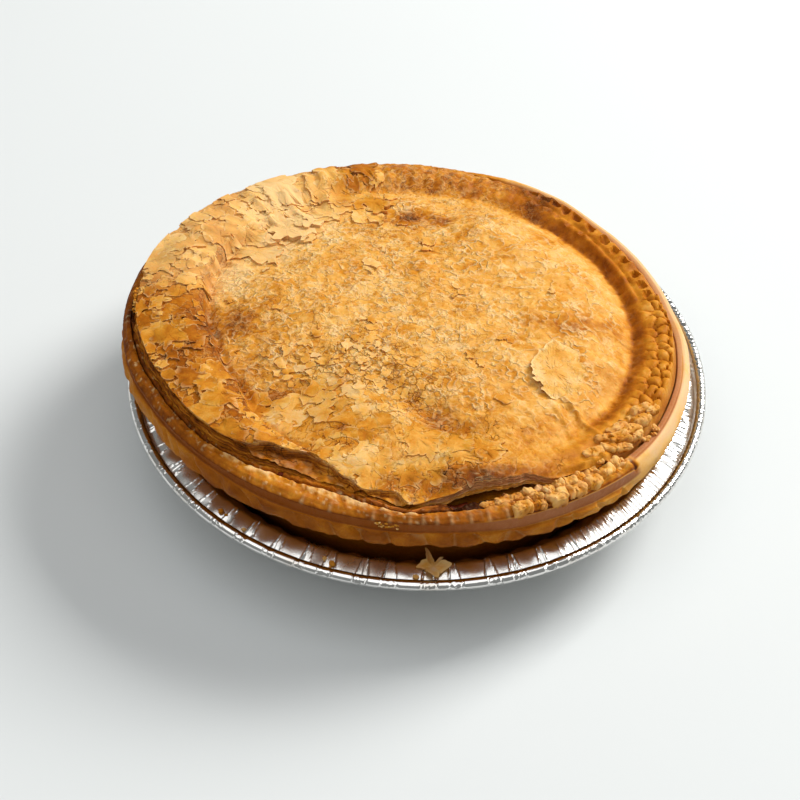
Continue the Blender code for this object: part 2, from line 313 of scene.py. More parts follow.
def skin(counts, first=0, flipped=False):
    """Triangles over a closed shape: a first point, rings of points with these counts, then a last point.
    They face outwards where the rings run down the shape, and are flipped where the rings run up it."""
    starts = [first + 1]
    for count in counts:
        starts.append(starts[-1] + count)
    faces = [(first, first + 1 + (i + 1) % counts[0], first + 1 + i) for i in range(counts[0])]
    for ring in range(len(counts) - 1):
        faces += strip(starts[ring], counts[ring], starts[ring + 1], counts[ring + 1])
    near, count = starts[-2], counts[-1]
    faces += [(near + i, near + (i + 1) % count, starts[-1]) for i in range(count)]
    return faces if flipped else [face[::-1] for face in faces]


def creases(turn, share):
    """Height from 0 to 1 of the flange's creases. Those of a pleat start together and fan out to the bead."""
    draw = np.random.default_rng(11)
    period = 2 * np.pi / PLEATS
    height = np.zeros_like(turn)
    for pleat in range(PLEATS):
        middle = (pleat + 0.5 + draw.uniform(-0.12, 0.12)) * period
        off = (turn - middle + np.pi) % (2 * np.pi) - np.pi
        crowded = abs(signed(np.degrees(middle))) < CROWDED_SIDE
        count = CROWDED_CREASES if crowded else int(draw.integers(2, 4))
        spread = 0.45 if crowded else 0.19
        start = 0.8 if crowded else 0.20
        for lean in np.linspace(-1, 1, count):
            path = period * (spread * lean + draw.uniform(-0.05, 0.05)) * (start + (1 - start) * share)
            width = period * draw.uniform(0.045, 0.080) * (0.35 + 0.65 * share)
            bold = draw.uniform(0.45, 1.0) * (0.80 if crowded else 1.0)
            height = np.maximum(height, bold * np.clip(1 - np.abs(off - path) / width, 0, 1))
        if not crowded:
            inside = 1 - np.abs(off) / (period * 0.25 * (start + (1 - start) * share))
            height = np.maximum(height, 0.32 * smooth(inside, 0, 0.5))
    return height


turn = np.arange(TIN_RAYS) * 2 * np.pi / TIN_RAYS
wall_fold = np.cos(turn * PLEATS + np.pi) * (1 - 0.25 * np.abs(np.sin(turn * PLEATS)))


def tin_ring(radius, height, wall=0.0, crease=0.0, share=1.0):
    """A ring of the tin's points, with its wall's pleats and its flange's creases."""
    places = on_ring(radius + wall * WALL_PLEAT * wall_fold, turn, height)
    places[:, 2] += crease * CREASE_HEIGHT * (creases(turn, share) - 0.15)
    places[:, 2] += crease * 0.00035 * rough_waves(places * (1, 1, 0), 0.010, 16, 2)
    return places


def wall_rings(shares, outset, foot, drop):
    """Rings of the tin's wall, which are a share of the way from its floor to its flange."""
    rings = []
    for share in shares:
        radius = TIN_FLOOR_RADIUS + outset + (FLANGE_INNER - 0.0002 - TIN_FLOOR_RADIUS) * share
        rings.append(tin_ring(radius, foot + (TIN_DEPTH - drop) * share, wall=0.3 + 0.7 * share))
    return rings


def ring_mark(amounts):
    """A mark of the tin's points that is 0 but on the rings that are given, by their numbers."""
    mark = np.zeros((len(tin_rings), TIN_RAYS))
    for ring, amount in amounts.items():
        mark[ring] = amount
    return np.concatenate([[0], mark.ravel(), [0]])


panel_lean = 0.0010 * waves(on_ring(1.0, turn), 0.09, 12) + 0.00035 * np.cos(turn * PLEATS)
tin_rings = [tin_ring(TIN_FLOOR_RADIUS - 0.0032, FOIL)]
tin_rings += wall_rings(np.linspace(0, 1, 4), outset=-0.0002, foot=0.0024, drop=0.0060)
for share in np.linspace(0, 1, 17):
    radius = FLANGE_INNER + 0.0012 + (BEAD_INNER - FLANGE_INNER - 0.0016) * share
    bulge = smooth(share, 0.0, 0.30) - max(share - 0.15, 0) ** 1.5 / 0.784
    height = TIN_DEPTH - 0.0020 + 0.0026 * bulge + panel_lean * (share - 0.4)
    fade = smooth(share, -0.3, 0.15) * (1 - 0.45 * share)
    tin_rings.append(tin_ring(radius, height, wall=0.5 * (1 - share), crease=fade, share=share))
grease_ring = len(tin_rings) - 1
bead_ring = grease_ring + 2
bead_middle = RIM_RADIUS - BEAD_WIDTH / 2
crimps = creases(turn, 1.0)
dented = 1 - DENT * crimps
for angle in np.radians(np.linspace(155, -150, 11)):
    radius = bead_middle + BEAD_WIDTH / 2 * np.cos(angle) * (1 - 0.1 * DENT * (dented < 1))
    tin_rings.append(tin_ring(radius, TIN_DEPTH + BEAD_HALF_HEIGHT * np.sin(angle) * dented))
for share in (1.0, 0.5, 0.0):
    radius = FLANGE_INNER + 0.0016 + (BEAD_INNER - FLANGE_INNER - 0.0016) * share
    height = TIN_DEPTH - 0.0033 + 0.0004 * share
    tin_rings.append(tin_ring(radius, height, wall=0.5 * (1 - share), crease=0.3, share=share))
tin_rings += wall_rings(np.linspace(1, 0, 4), outset=0.0004, foot=0.0022, drop=0.0058)
tin_rings.append(tin_ring(TIN_FLOOR_RADIUS - 0.003, 0.0))
tin_points = np.concatenate([[(0, 0, FOIL)], *tin_rings, [(0, 0, 0)]])
crimp_rings = range(bead_ring + 1, bead_ring + 1 + CRIMPED_RINGS)
tin_marks = {
    "grease": ring_mark({grease_ring: 0.5, grease_ring + 1: 0.25}),
    "dull": 0.5 + 0.5 * waves(tin_points, 0.03, 15),
    "crimp": ring_mark({ring: np.clip(2.0 * crimps, 0, 1) for ring in crimp_rings}),
    "bead": ring_mark({ring: 1.0 for ring in range(bead_ring, bead_ring + 10)}),
    "seam": ring_mark({bead_ring: 0.5, bead_ring + 1: 0.2}),
}

foil_finish, sums = new_finish("foil")
ochre = (sums.mark("grease") * sums.noise(0.006, detail=3).rise(0.25, 0.5)).held()
brushed = sums.noise(0.0012, detail=3, stretch=(1, 1, 4))
smear = sums.noise(0.012, detail=3).rise(0.45, 0.75)
squiggle = sums.mark("crimp") * sums.noise(0.0016, detail=1) * 9
metal = smear.mix(FOIL_BRIGHT, FOIL_SMEARED)
# Painted shade and reflection: the bead is darkened along its groove at the flange.
metal = (sums.mark("seam") * (0.6 + sums.noise(0.005, detail=2))).held().mix(metal, FOIL_PAINTED_SHADE)
rough = 0.18 + 0.10 * sums.mark("dull") + 0.06 * smear + 0.35 * ochre - 0.10 * sums.mark("bead")
surface(sums, {
    "Base Color": ochre.mix(metal, BAKED_FAT),
    "Metallic": 1 - 0.75 * ochre,
    "Roughness": rough.held(),
    "Normal": (brushed * 0.5 + sums.noise(0.004, detail=2) + squiggle).bump(0.00006),
})
tin_faces = skin([TIN_RAYS] * len(tin_rings))
foil_tin = piece("pleated_foil_tin", tin_points, tin_faces, foil_finish, tin_marks, 32)
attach(foil_tin, "root")
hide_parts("foil_tin")


# Base crust: shortcrust pressed into the tin, its edge standing proud in a thick rim. A knife has trimmed
# the rim to a brown band that shows the pressed layers, with a golden fluted band below it. On top it is
# a crumbly ledge, crimped in front, and on the right a smooth pale roll.
RIM_RISE = 0.0195
RIM_TILT = (-0.037, -0.063)
PIE_SHIFT = (-0.0039, 0.003)
CUT_BAND = 0.0055
LIP_HEIGHT = 0.0135
GAP = 0.0003
CRUST_RAYS = 1260
FACETS = 62
FRONT_RIGHT = (262, 335, 12)
RIM_KNOTS = [
    (0, 0.1108), (15, 0.1092), (28, 0.1080), (43, 0.1084), (57, 0.1110), (75, 0.1108), (90, 0.1110),
    (110, 0.1102), (130, 0.1098), (150, 0.1106), (168, 0.1120), (185, 0.1124), (199, 0.1124),
    (212, 0.1110), (247, 0.1106), (275, 0.1109), (300, 0.1114), (322, 0.1124), (345, 0.1114),
]
LID_INSET_KNOTS = [
    (0, 0.0058), (60, 0.0054), (85, 0.0042), (140, 0.0036), (168, 0.0044), (185, 0.0058), (200, 0.0078),
    (227, 0.0080), (237, 0.0094), (247, 0.0118), (256, 0.0116), (264, 0.0094), (271, 0.0066),
    (278, 0.0098), (286, 0.0124), (296, 0.0126), (304, 0.0100), (315, 0.0070), (335, 0.0060),
]
# Each hidden row: its radius, its height, and its share of the pie's shift in the tin.
HIDDEN_ROWS = [
    (0.0785, FOIL + GAP, 0), (0.0812, FOIL + GAP + 0.0025, 0), (0.0945, TIN_DEPTH - 0.003, 0.3),
    (0.0960, TIN_DEPTH + 0.0015, 0.4),
]


def around(degrees, knots):
    """The value at each angle of a curve that runs smoothly through (degrees, value) knots and closes."""
    angles, values = np.array([*knots, (knots[0][0] + 360.0, knots[0][1])]).T
    turned = (degrees - angles[0]) % 360.0 + angles[0]
    place = np.clip(np.searchsorted(angles, turned, "right") - 1, 0, len(knots) - 1)
    share = smooth(turned, angles[place], angles[place + 1])
    return values[place] + (values[place + 1] - values[place]) * share


def sector(degrees, start, stop, soft):
    """1 inside the sector from start to stop, fading to 0 over soft degrees outside it."""
    off = np.abs(signed(degrees - (start + stop) / 2))
    return 1 - smooth(off, (stop - start) / 2, (stop - start) / 2 + soft)


def between(x, rise, full, hold, fall):
    """0 up to rise, 1 from full to hold, and 0 again from fall on."""
    return smooth(x, rise, full) * (1 - smooth(x, hold, fall))


def bell(off, width):
    """1 where off is 0, falling to 0 on both sides."""
    return np.exp(-((off / width) ** 2))


def rim_plane(x, y):
    """Height of the tilted plane through the top edge of the trimmed band."""
    return TIN_DEPTH + RIM_RISE + RIM_TILT[0] * x + RIM_TILT[1] * y


def lid_edge(degrees):
    """Radius of the lid's outer edge."""
    return around(degrees, RIM_KNOTS) - around(degrees, LID_INSET_KNOTS)


def lid_seat(degrees):
    """Height above the rim plane of what the lid sits on. It is lower behind the roll."""
    return 0.0018 - 0.0035 * sector(degrees, -48, 66, 14)


def cells(u, v, seed, spread=1.0, wrap=64):
    """The random patchwork of cracked pastry: at each place, in patches, how far it is to the nearest seed
    point and to the next one, and a random number of the patch. A small spread keeps the patches in rows."""
    table = np.random.default_rng(seed).uniform(0, 1, (wrap, wrap, 3))
    table[:, :, :2] = 0.5 + spread * (table[:, :, :2] - 0.5)
    i, j = np.floor(u).astype(int), np.floor(v).astype(int)
    nearest = np.full(len(u), 9.0)
    second = np.full(len(u), 9.0)
    number = np.zeros(len(u))
    for di in (-1, 0, 1):
        for dj in (-1, 0, 1):
            jitter = table[(i + di) % wrap, (j + dj) % wrap]
            away = np.hypot(i + di + jitter[:, 0] - u, j + dj + jitter[:, 1] - v)
            closer = away < nearest
            second = np.where(closer, nearest, np.minimum(second, away))
            number = np.where(closer, jitter[:, 2], number)
            nearest = np.where(closer, away, nearest)
    return nearest, second, number


def on_roll(degrees):
    """1 along the smooth roll on the right. It ends short in front and fades out behind."""
    return between(signed(degrees), -40.0, -38.2, 62, 76)


def on_side(degrees):
    """1 where the rim's side is smooth and rounded below the roll, and beyond its end in front."""
    return between(signed(degrees), -44.0, -39.0, 62, 76)


def crust_rows(degrees, rim, edge):
    """Inset from the rim and height above its plane of the crust's profile, row by row from the lip's
    underside to the lid, with how many steps lead to each row."""
    turn = np.radians(degrees)
    plane = rim_plane(rim * np.cos(turn), rim * np.sin(turn))
    lip = np.minimum(LIP_HEIGHT, plane - TIN_DEPTH - BEAD_HALF_HEIGHT - 0.001)
    tube, side = on_roll(degrees), on_side(degrees)
    raised = 0.0032 * sector(degrees, 30, 60, 20) + 0.0014 * sector(degrees, 72, 112, 14)
    band = CUT_BAND * (0.82 - 0.26 * sector(degrees, 150, 225, 22) + 0.28 * sector(degrees, 293, 326, 14))
    seat = lid_seat(degrees) - GAP
    seat = seat - 0.0032 * sector(degrees, 280, 298, 4) - 0.0020 * sector(degrees, 280, 286, 3)
    rows = [
        (1, 0.0050, -lip, 0.0050, -lip),
        (5, 0.0, -0.84 * lip, 0.0012, -0.86 * lip),
        (14, -0.0001, -band - 0.0006, 0.0, -0.0065),
        (2, 0.0010, -band + 0.0002, -0.0002, -0.0036),
        (10, 0.0004, 0.0, 0.0006, -0.0012),
        (3, 0.0016, 0.0010, 0.0021, 0.0009),
        (16, rim - edge - 0.0012, 0.0014, rim - edge - 0.0006, 0.0004),
        (4, rim - edge - 0.0002, seat, rim - edge - 0.0002, seat),
        (3, rim - edge + 0.0050, seat - 0.0002, rim - edge + 0.0050, seat - 0.0002),
        (3, rim - edge + 0.0130, -0.0040, rim - edge + 0.0130, -0.0040),
        (1, rim - 0.0700, -0.0080, rim - 0.0700, -0.0080),
    ]
    blended = []
    for row, (steps, a, b, c, d) in enumerate(rows):
        share = side if row < 5 else tube
        lifted = raised * (0, 0, 0.1, 0.45, 0.85, 1, 1, 0, 0, 0, 0)[row]
        blended.append((steps, a + (c - a) * share, b + (d - b) * share + lifted))
    return blended


degrees = np.arange(CRUST_RAYS) * 360.0 / CRUST_RAYS
turn = np.radians(degrees)
rim = around(degrees, RIM_KNOTS)
rows = crust_rows(degrees, rim, lid_edge(degrees))
curviness = 0.25 + 0.65 * on_side(degrees)
profile = [(0.0, *rows[0][1:])]
for row in range(1, len(rows)):
    before, start, stop = rows[max(row - 2, 0)], rows[row - 1], rows[row]
    after = rows[min(row + 1, len(rows) - 1)]
    for t in np.arange(1, stop[0] + 1) / stop[0]:
        bent = []
        for p0, p1, p2, p3 in zip(before[1:], start[1:], stop[1:], after[1:]):
            curved = 0.5 * (p2 - p0) * (t - 2 * t**2 + t**3) + 0.5 * (p3 - p1) * (t**3 - t**2)
            curved = curved - (p2 - p1) * (t - 3 * t**2 + 2 * t**3)
            bent.append(p1 + (p2 - p1) * t + curved * curviness * (row < 7))
        profile.append((row - 1 + t, *bent))
levels, insets, heights = zip(*profile)
place_on = np.repeat(levels, CRUST_RAYS)
ray = np.tile(degrees, len(profile))
rim_rays = np.tile(rim, len(profile))
turned = np.radians(ray)
radius = rim_rays - np.concatenate(insets)
height = np.concatenate(heights)
flat = on_ring(radius, turned, height)
on_tube = np.where(place_on < 4.3, on_side(ray), on_roll(ray))
off_tube = 1 - on_tube
on_lower = between(place_on, 0.4, 1.0, 1.9, 2.1)
on_cut = between(place_on, 2.5, 2.9, 3.95, 4.05)
on_top = between(place_on, 4.05, 4.6, 6.6, 7.0)
across = np.clip(place_on - 5, 0, 1)

# The lower band is pinched into facets that lean, and the trimmed band is finely grained from top to bottom.
slanted = ray / 360 * FACETS + 0.3 * height / 0.011 + 0.5 * waves(flat, 0.025, 20)
near, next_near, patch = cells(slanted, height / 0.020 + 5, 21)
pinch = smooth(next_near - near, 0.0, 0.38)
soft = rough_waves(flat, 0.009, 22)
fine = rough_waves(flat, 0.0022, 23)
grain = waves(flat * (1, 1, 0.12), 0.0009, 24) + 0.6 * waves(flat * (1, 1, 0.2), 0.0016, 25)
blister = rough_waves(flat, 0.0030, 26, 2)
fluted = 0.45 + 0.55 * sector(ray, 190, 325, 25)
low_edge = 0.45 + 0.55 * smooth(place_on, 1.05, 1.5)
facet = (0.0012 + 0.0006 * sector(ray, *FRONT_RIGHT)) * (pinch - 0.7) + 0.0005 * (patch - 0.5)
outward = on_lower * (fluted * (facet * low_edge + 0.0008 * soft) + 0.00010 * fine)
outward += on_cut * (0.00012 * grain + 0.00022 * soft)
outward += between(place_on, 1.8, 2.1, 2.8, 3.0) * 0.00035 * soft
outward *= 1 - 0.7 * on_tube
lip_wave = 0.0011 * rough_waves(flat, 0.016, 19) * (1 - smooth(place_on, 0.0, 1.2)) * off_tube

# The ledge is blistered, with a crumbly pale upper edge and a crack behind it. In front it is piled with
# crumbly lumps, and a hollow runs under the lifted lid.
REACH_KNOTS = [
    (186, 0.68), (225, 0.74), (244, 0.80), (256, 0.80), (264, 0.74), (270, 0.72), (277, 0.56), (284, 0.50),
    (291, 0.54), (296, 0.66), (300, 1.20), (316, 1.20), (322, 0.80),
]
CRIMP_LINES = [251, 256.5, 264.7, 267.8, 271.6, 274.0, 276.6, 279.4, 283.0, 286.5, 290.2]
front = sector(ray, 232, 300, 12)
reach = around(ray, REACH_KNOTS) + 0.05 * waves(flat, 0.007, 31) + 0.03 * waves(flat, 0.003, 30)
past = across - reach
crumbly = rough_waves(flat, 0.0032, 28)
grainy = rough_waves(flat, 0.0016, 34, 2)
on_ledge = on_top * off_tube
on_ridge = smooth(across, 0.02, 0.14) * (1 - smooth(past, -0.10, 0.02)) * off_tube
past_ridge = sector(ray, 180, 278, 5) * off_tube
crack = past_ridge * bell(past - 0.03, 0.045) * smooth(place_on, 4.9, 5.1)
lumpy = sector(ray, 291, 318, 3) * on_ridge
hollow = sector(ray, 280, 298, 3) * smooth(past, -0.06, 0.10) * (1 - smooth(place_on, 6.4, 7.0))
deep = sector(ray, 280.5, 286, 2)
pinched = sum(bell(ray - line, 0.32) for line in CRIMP_LINES) * between(place_on, 3.85, 4.1, 4.9, 5.5)
upward = on_ledge * (0.00034 * blister + 0.00012 * fine) + on_top * on_tube * 0.00005 * soft
upward += on_ridge * (0.0007 + 0.0008 * smooth(across, 0.2, 0.55) * crumbly) * sector(ray, 186, 292, 6)
upward += lumpy * (0.0006 + 0.0016 * crumbly) * (1 - smooth(place_on, 6.0, 6.6))
behind = past_ridge * smooth(past, 0.03, 0.10) * (1 - smooth(place_on, 6.0, 6.8))
upward += behind * (0.0004 + 0.0008 * crumbly) + 0.0004 * pinched - 0.0011 * crack
upward -= hollow * (0.0010 + 0.0018 * deep - 0.0016 * crumbly - 0.0006 * grainy)
roll_crease = on_tube * sector(ray, -42, -6, 6) * bell(across - 0.40, 0.05)
roll_end = bell(ray - 320.0, 0.45) * between(place_on, 3.3, 3.9, 5.4, 5.9)
upward -= 0.0003 * roll_crease * smooth(place_on, 4.9, 5.1) + 0.0009 * roll_end
inward = past_ridge * smooth(across, 0.6, 0.8) * (1 - smooth(place_on, 6.3, 6.9))
inward = 0.0005 * inward * rough_waves(flat, 0.004, 29)
z = rim_plane(rim_rays * np.cos(turned), rim_rays * np.sin(turned)) + height + upward + lip_wave
shown_points = on_ring(radius + outward - inward, turned, z) + (*PIE_SHIFT, 0)
hidden_points = []
for hidden_radius, hidden_height, shift in HIDDEN_ROWS:
    moved = (PIE_SHIFT[0] * shift, PIE_SHIFT[1] * shift, 0)
    hidden_points.append(on_ring(hidden_radius, turn, hidden_height) + moved)
top_middle = (*PIE_SHIFT, rim_plane(0, 0) - 0.0085)
crust_points = np.concatenate([[(0, 0, FOIL + GAP)], *hidden_points, shown_points, [top_middle]])
crust_faces = skin([CRUST_RAYS] * (len(HIDDEN_ROWS) + len(profile)), flipped=True)

# Its tone runs from 0, pale, to 1, burnt: golden below, brown where it was trimmed and in the groove, golden
# brown on the ledge and pale on the roll.
lower_tone = 0.49 + 0.17 * front + 0.10 * soft + 0.06 * (patch - 0.5)
lower_tone += 0.12 * (1 - smooth(place_on, 0.6, 1.3)) - 0.10 * sector(ray, 292, 330, 10)
ledge_tone = 0.50 + 0.20 * sector(ray, 150, 220, 20) - 0.12 * sector(ray, 230, 256, 10) + 0.15 * front
ledge_tone += 0.10 * blister + 0.30 * crack + 0.06 * grainy + 0.08 * (1 - smooth(place_on, 4.2, 5.2))
ledge_tone += past_ridge * smooth(past, 0.03, 0.08) * (0.10 - 0.12 * crumbly)
ledge_tone += 0.34 * sector(ray, 293, 318, 4) * bell(place_on - 4.45, 0.25) - lumpy * (0.06 + 0.22 * crumbly)
# Painted shade: the hollow is darkened most where it is deepest and where it runs in under the lid's edge,
# which overhangs it.
ledge_tone += hollow * (0.06 + 0.40 * deep - 0.24 * crumbly + 0.24 * smooth(across, 0.78, 0.98))
ledge_tone -= 0.16 * sector(ray, 225, 285, 10) * smooth(across, 0.25, 0.45) * on_ridge * (0.6 + crumbly)
tube_tone = 0.02 + 0.16 * (1 - smooth(place_on, 0.5, 2.5)) + 0.04 * soft + 0.3 * roll_crease
tube_tone += 0.14 * sector(ray, 305, 332, 15) * (1 - smooth(place_on, 2.5, 4.4))
cut_tone = 0.94 - 0.80 * sector(ray, 300, 330, 30) + 0.10 * grain
tone = (on_lower * lower_tone + on_cut * cut_tone + on_top * ledge_tone) * off_tube + on_tube * tube_tone
shown = on_lower + on_cut + on_top
tone = np.where(shown + on_tube > 0.01, tone / np.maximum(shown, on_tube), 0.6)
stain = bell(ray - 183, 3.0) * smooth(place_on, 4.6, 5.8)
tone = np.clip(tone + 0.3 * stain + 0.45 * roll_end, 0, 1)
brown_from = 0.34 - 0.14 * sector(ray, -46, -20, 10)
strip_brown = 0.55 + 0.30 * sector(ray, 312, 340, 14)
cut = on_cut * (1 - on_roll(ray)) + strip_brown * on_tube * smooth(across - brown_from, -0.05, 0.09)
# Painted shade: a brown gradient over the inner side of the roll's top at the front right, which faces away
# from the light.
cut += 0.30 * on_tube * sector(ray, 318, 350, 10) * smooth(across, 0.02, 0.45) * (1 - cut)
# Painted highlight: pale on the raised crimp lines of the ledge and along the creases between the lower
# band's facets at the front right.
crease_highlight = 1 - smooth(next_near - near, 0.0, 0.10)
pale = on_ridge * sector(ray, 232, 316, 8) * smooth(across, 0.30, 0.55) * np.clip(0.1 + crumbly, 0, 0.6)
pale += 0.26 * pinched + 0.13 * on_lower * off_tube * crease_highlight * sector(ray, *FRONT_RIGHT)
pale += on_ledge * (0.7 * past_ridge * np.clip(grainy - 0.45, 0, 0.5) + 0.25 * np.clip(grainy - 0.3, 0, 1))


def with_hidden(values, hidden=0.0):
    """The marks of the shown points, with one value for the hidden ones."""
    return np.concatenate([np.full(1 + len(HIDDEN_ROWS) * CRUST_RAYS, hidden), values, [hidden]])


BAKED_TONES = [
    (0.00, (0.74, 0.480, 0.255)), (0.08, (0.76, 0.465, 0.180)), (0.22, (0.72, 0.370, 0.078)),
    (0.40, (0.58, 0.232, 0.018)), (0.60, (0.38, 0.114, 0.004)), (0.80, (0.19, 0.046, 0.002)),
    (1.00, (0.055, 0.012, 0.001)),
]
CUT_PALE = (0.41, 0.150, 0.055, 1)
CUT_BROWN = (0.25, 0.060, 0.002, 1)
CREAM = (0.86, 0.60, 0.29, 1)


def baked_finish(name, mottled, grain_depth, gloss, flaky=False):
    """Baked pastry: its colour goes by the tone at each point, mottled by heat. Flaky pastry also has fine
    worm-like blisters with pale tops, thin leaves with torn edges, and cracked places and layered edges."""
    material, sums = new_finish(name)
    speck = sums.noise(0.0008, detail=4, rough=0.65) - 0.5
    patchy = sums.noise(0.0072, detail=5, rough=0.6) - 0.5
    broad = sums.noise(0.017, detail=2, shift=7.0) - 0.5
    tone = sums.mark("tone") + patchy * (2.1 * mottled) + broad * (1.3 * mottled) + speck * 0.20
    relief = speck * 0.5 + patchy * 0.5
    pale = sums.mark("pale") * (1 + speck)
    if flaky:
        bend = sums.noise(0.0040, detail=1.5)
        broken = sums.noise(0.0044, detail=2, shift=3.0).rise(0.38, 0.58)
        worm = (1 - abs(bend - 0.5) * 11).held() * (0.15 + 0.85 * broken) * sums.mark("worm")
        tone = tone + (bend - 0.5) * sums.mark("worm") * 0.30
        relief = relief + worm * 1.9 + (bend - 0.5) * sums.mark("worm") * 2.0
        pale = pale + worm * 0.70
        for size, shift, amount in ((0.011, 11.0, 1.0), (0.0058, 23.0, 0.8)):
            depth = sums.noise(size, detail=6, rough=0.6, shift=shift) - 0.5
            torn = sums.mark("torn") * amount
            leaf = depth.rise(0.0, 0.010)
            rim = leaf * (1 - depth.rise(0.010, 0.045))
            crack = depth.rise(-0.030, -0.002) * (1 - leaf)
            # Just inside a torn leaf's edge it is paler, part thin pastry and part painted highlight; just
            # outside it is darker, part crack and part painted shadow under the edge.
            tone = tone + torn * (crack * 0.22 - rim * 0.10 - leaf * 0.06)
            pale = pale + torn * rim * 0.30
            relief = relief + torn * leaf * 2.4
        crack = (1 - sums.fissures(0.0038, 0.75).rise(0.0, 0.085)) * sums.mark("pebble")
        shown = sums.noise(0.012, detail=2, shift=31.0).rise(0.48, 0.60)
        hair = (1 - sums.fissures(0.0150, 1.1, shift=5.0).rise(0.0, 0.014)) * sums.mark("hair") * shown
        layered = (sums.noise(0.0011, detail=3, stretch=(9, 9, 0.42), rough=0.6) - 0.5) * sums.mark("strata")
        tone = tone + crack * 0.20 + hair * 0.30 + layered * 1.3
        tone = sums.sum("MAXIMUM", tone, 0.07)
        relief = relief - crack * 1.8 - hair * 1.6 + layered * 3.0
    baked = tone.held().node("ShaderNodeValToRGB", {"stops": BAKED_TONES}, {"Fac": tone.held()})
    baked = (broad * 1.6 + 0.5).held().mix(baked, (1.0, 0.93, 0.78, 1), "MULTIPLY")
    trimmed = tone.held().mix(CUT_PALE, CUT_BROWN)
    baked = (sums.mark("cut") * (1 + speck * 0.5)).held().mix(baked, trimmed)
    baked = pale.held().mix(baked, CREAM)
    surface(sums, {
        "Base Color": baked,
        "Roughness": (gloss + 0.20 * speck + 0.14 * patchy).held(),
        "Specular IOR Level": 0.08,
        "Subsurface Weight": 0.18,
        "Subsurface Radius": (1.0, 0.42, 0.12),
        "Subsurface Scale": 0.0016,
        "Normal": relief.bump(grain_depth),
    })
    return material


crust_finish = baked_finish("crust_pastry", 0.15, 0.00030, 0.52)
crust_marks = {"tone": with_hidden(tone, 0.6), "cut": with_hidden(cut), "pale": with_hidden(pale)}
base_crust = piece("trimmed_base_crust", crust_points, crust_faces, crust_finish, crust_marks, 55)
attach(base_crust, "root")
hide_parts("base_crust")


# Lid: a round of puff pastry, blistered and browned unevenly in the oven. It stands in a broad flaky ring
# on the left, is pressed into a two-row rope on the right, and its front edge is folded and lifted off
# the crust in a low arch. Its edge shows the thin leaves that it is built of.
LID_THICKNESS = 0.0045
DOME_RADIUS = 0.076
DOME_RINGS = 92
LID_RAYS = 1170
LID_STEPS = 40
STEP_KNOTS = [
    (60, 0.0840), (110, 0.0840), (140, 0.0830), (152, 0.0832), (167, 0.0828), (182, 0.0805), (198, 0.0783),
    (208, 0.0795), (219, 0.0790), (228, 0.0845), (236, 0.0870), (250, 0.0900), (300, 0.0900),
]
SWELLS = [
    (-0.052, 0.002, 0.022, 0.018, 0, 0.0016), (0.060, 0.010, 0.024, 0.016, 80, 0.0016),
    (-0.010, 0.050, 0.020, 0.020, 0, -0.0014), (0.009, -0.060, 0.018, 0.0075, -38, -0.0030),
    (0.034, -0.080, 0.018, 0.007, 12, 0.0016), (-0.058, -0.048, 0.014, 0.012, 0, -0.0016),
    (0.066, -0.052, 0.017, 0.006, -60, 0.0006), (0.022, 0.084, 0.014, 0.004, -18, 0.0016),
    (0.004, 0.024, 0.006, 0.026, 8, 0.0010), (-0.006, 0.072, 0.018, 0.005, -6, 0.0012),
    (0.030, 0.052, 0.030, 0.005, -34, 0.0009), (-0.030, -0.006, 0.009, 0.012, 30, 0.0007),
]
RIPPLES = [
    (0.0610, -0.0480, 0.0085, 0.0014, -52, 0.0008), (0.0560, -0.0520, 0.0080, 0.0013, -60, 0.0007),
    (0.0655, -0.0535, 0.0090, 0.0015, -56, 0.0009), (0.0600, -0.0590, 0.0080, 0.0014, -66, 0.0008),
    (0.0700, -0.0600, 0.0085, 0.0014, -50, 0.0008), (0.0745, -0.0545, 0.0070, 0.0014, -44, 0.0007),
    (-0.070, 0.024, 0.012, 0.0030, 60, 0.0008), (-0.020, 0.083, 0.018, 0.0016, 8, 0.0007),
    (0.0500, -0.0440, 0.0090, 0.0020, -30, -0.0004), (0.0220, -0.0800, 0.0200, 0.0020, 8, 0.0007),
    (0.0180, -0.0880, 0.0240, 0.0018, 10, 0.0008), (0.0260, -0.0930, 0.0220, 0.0016, 14, 0.0007),
]
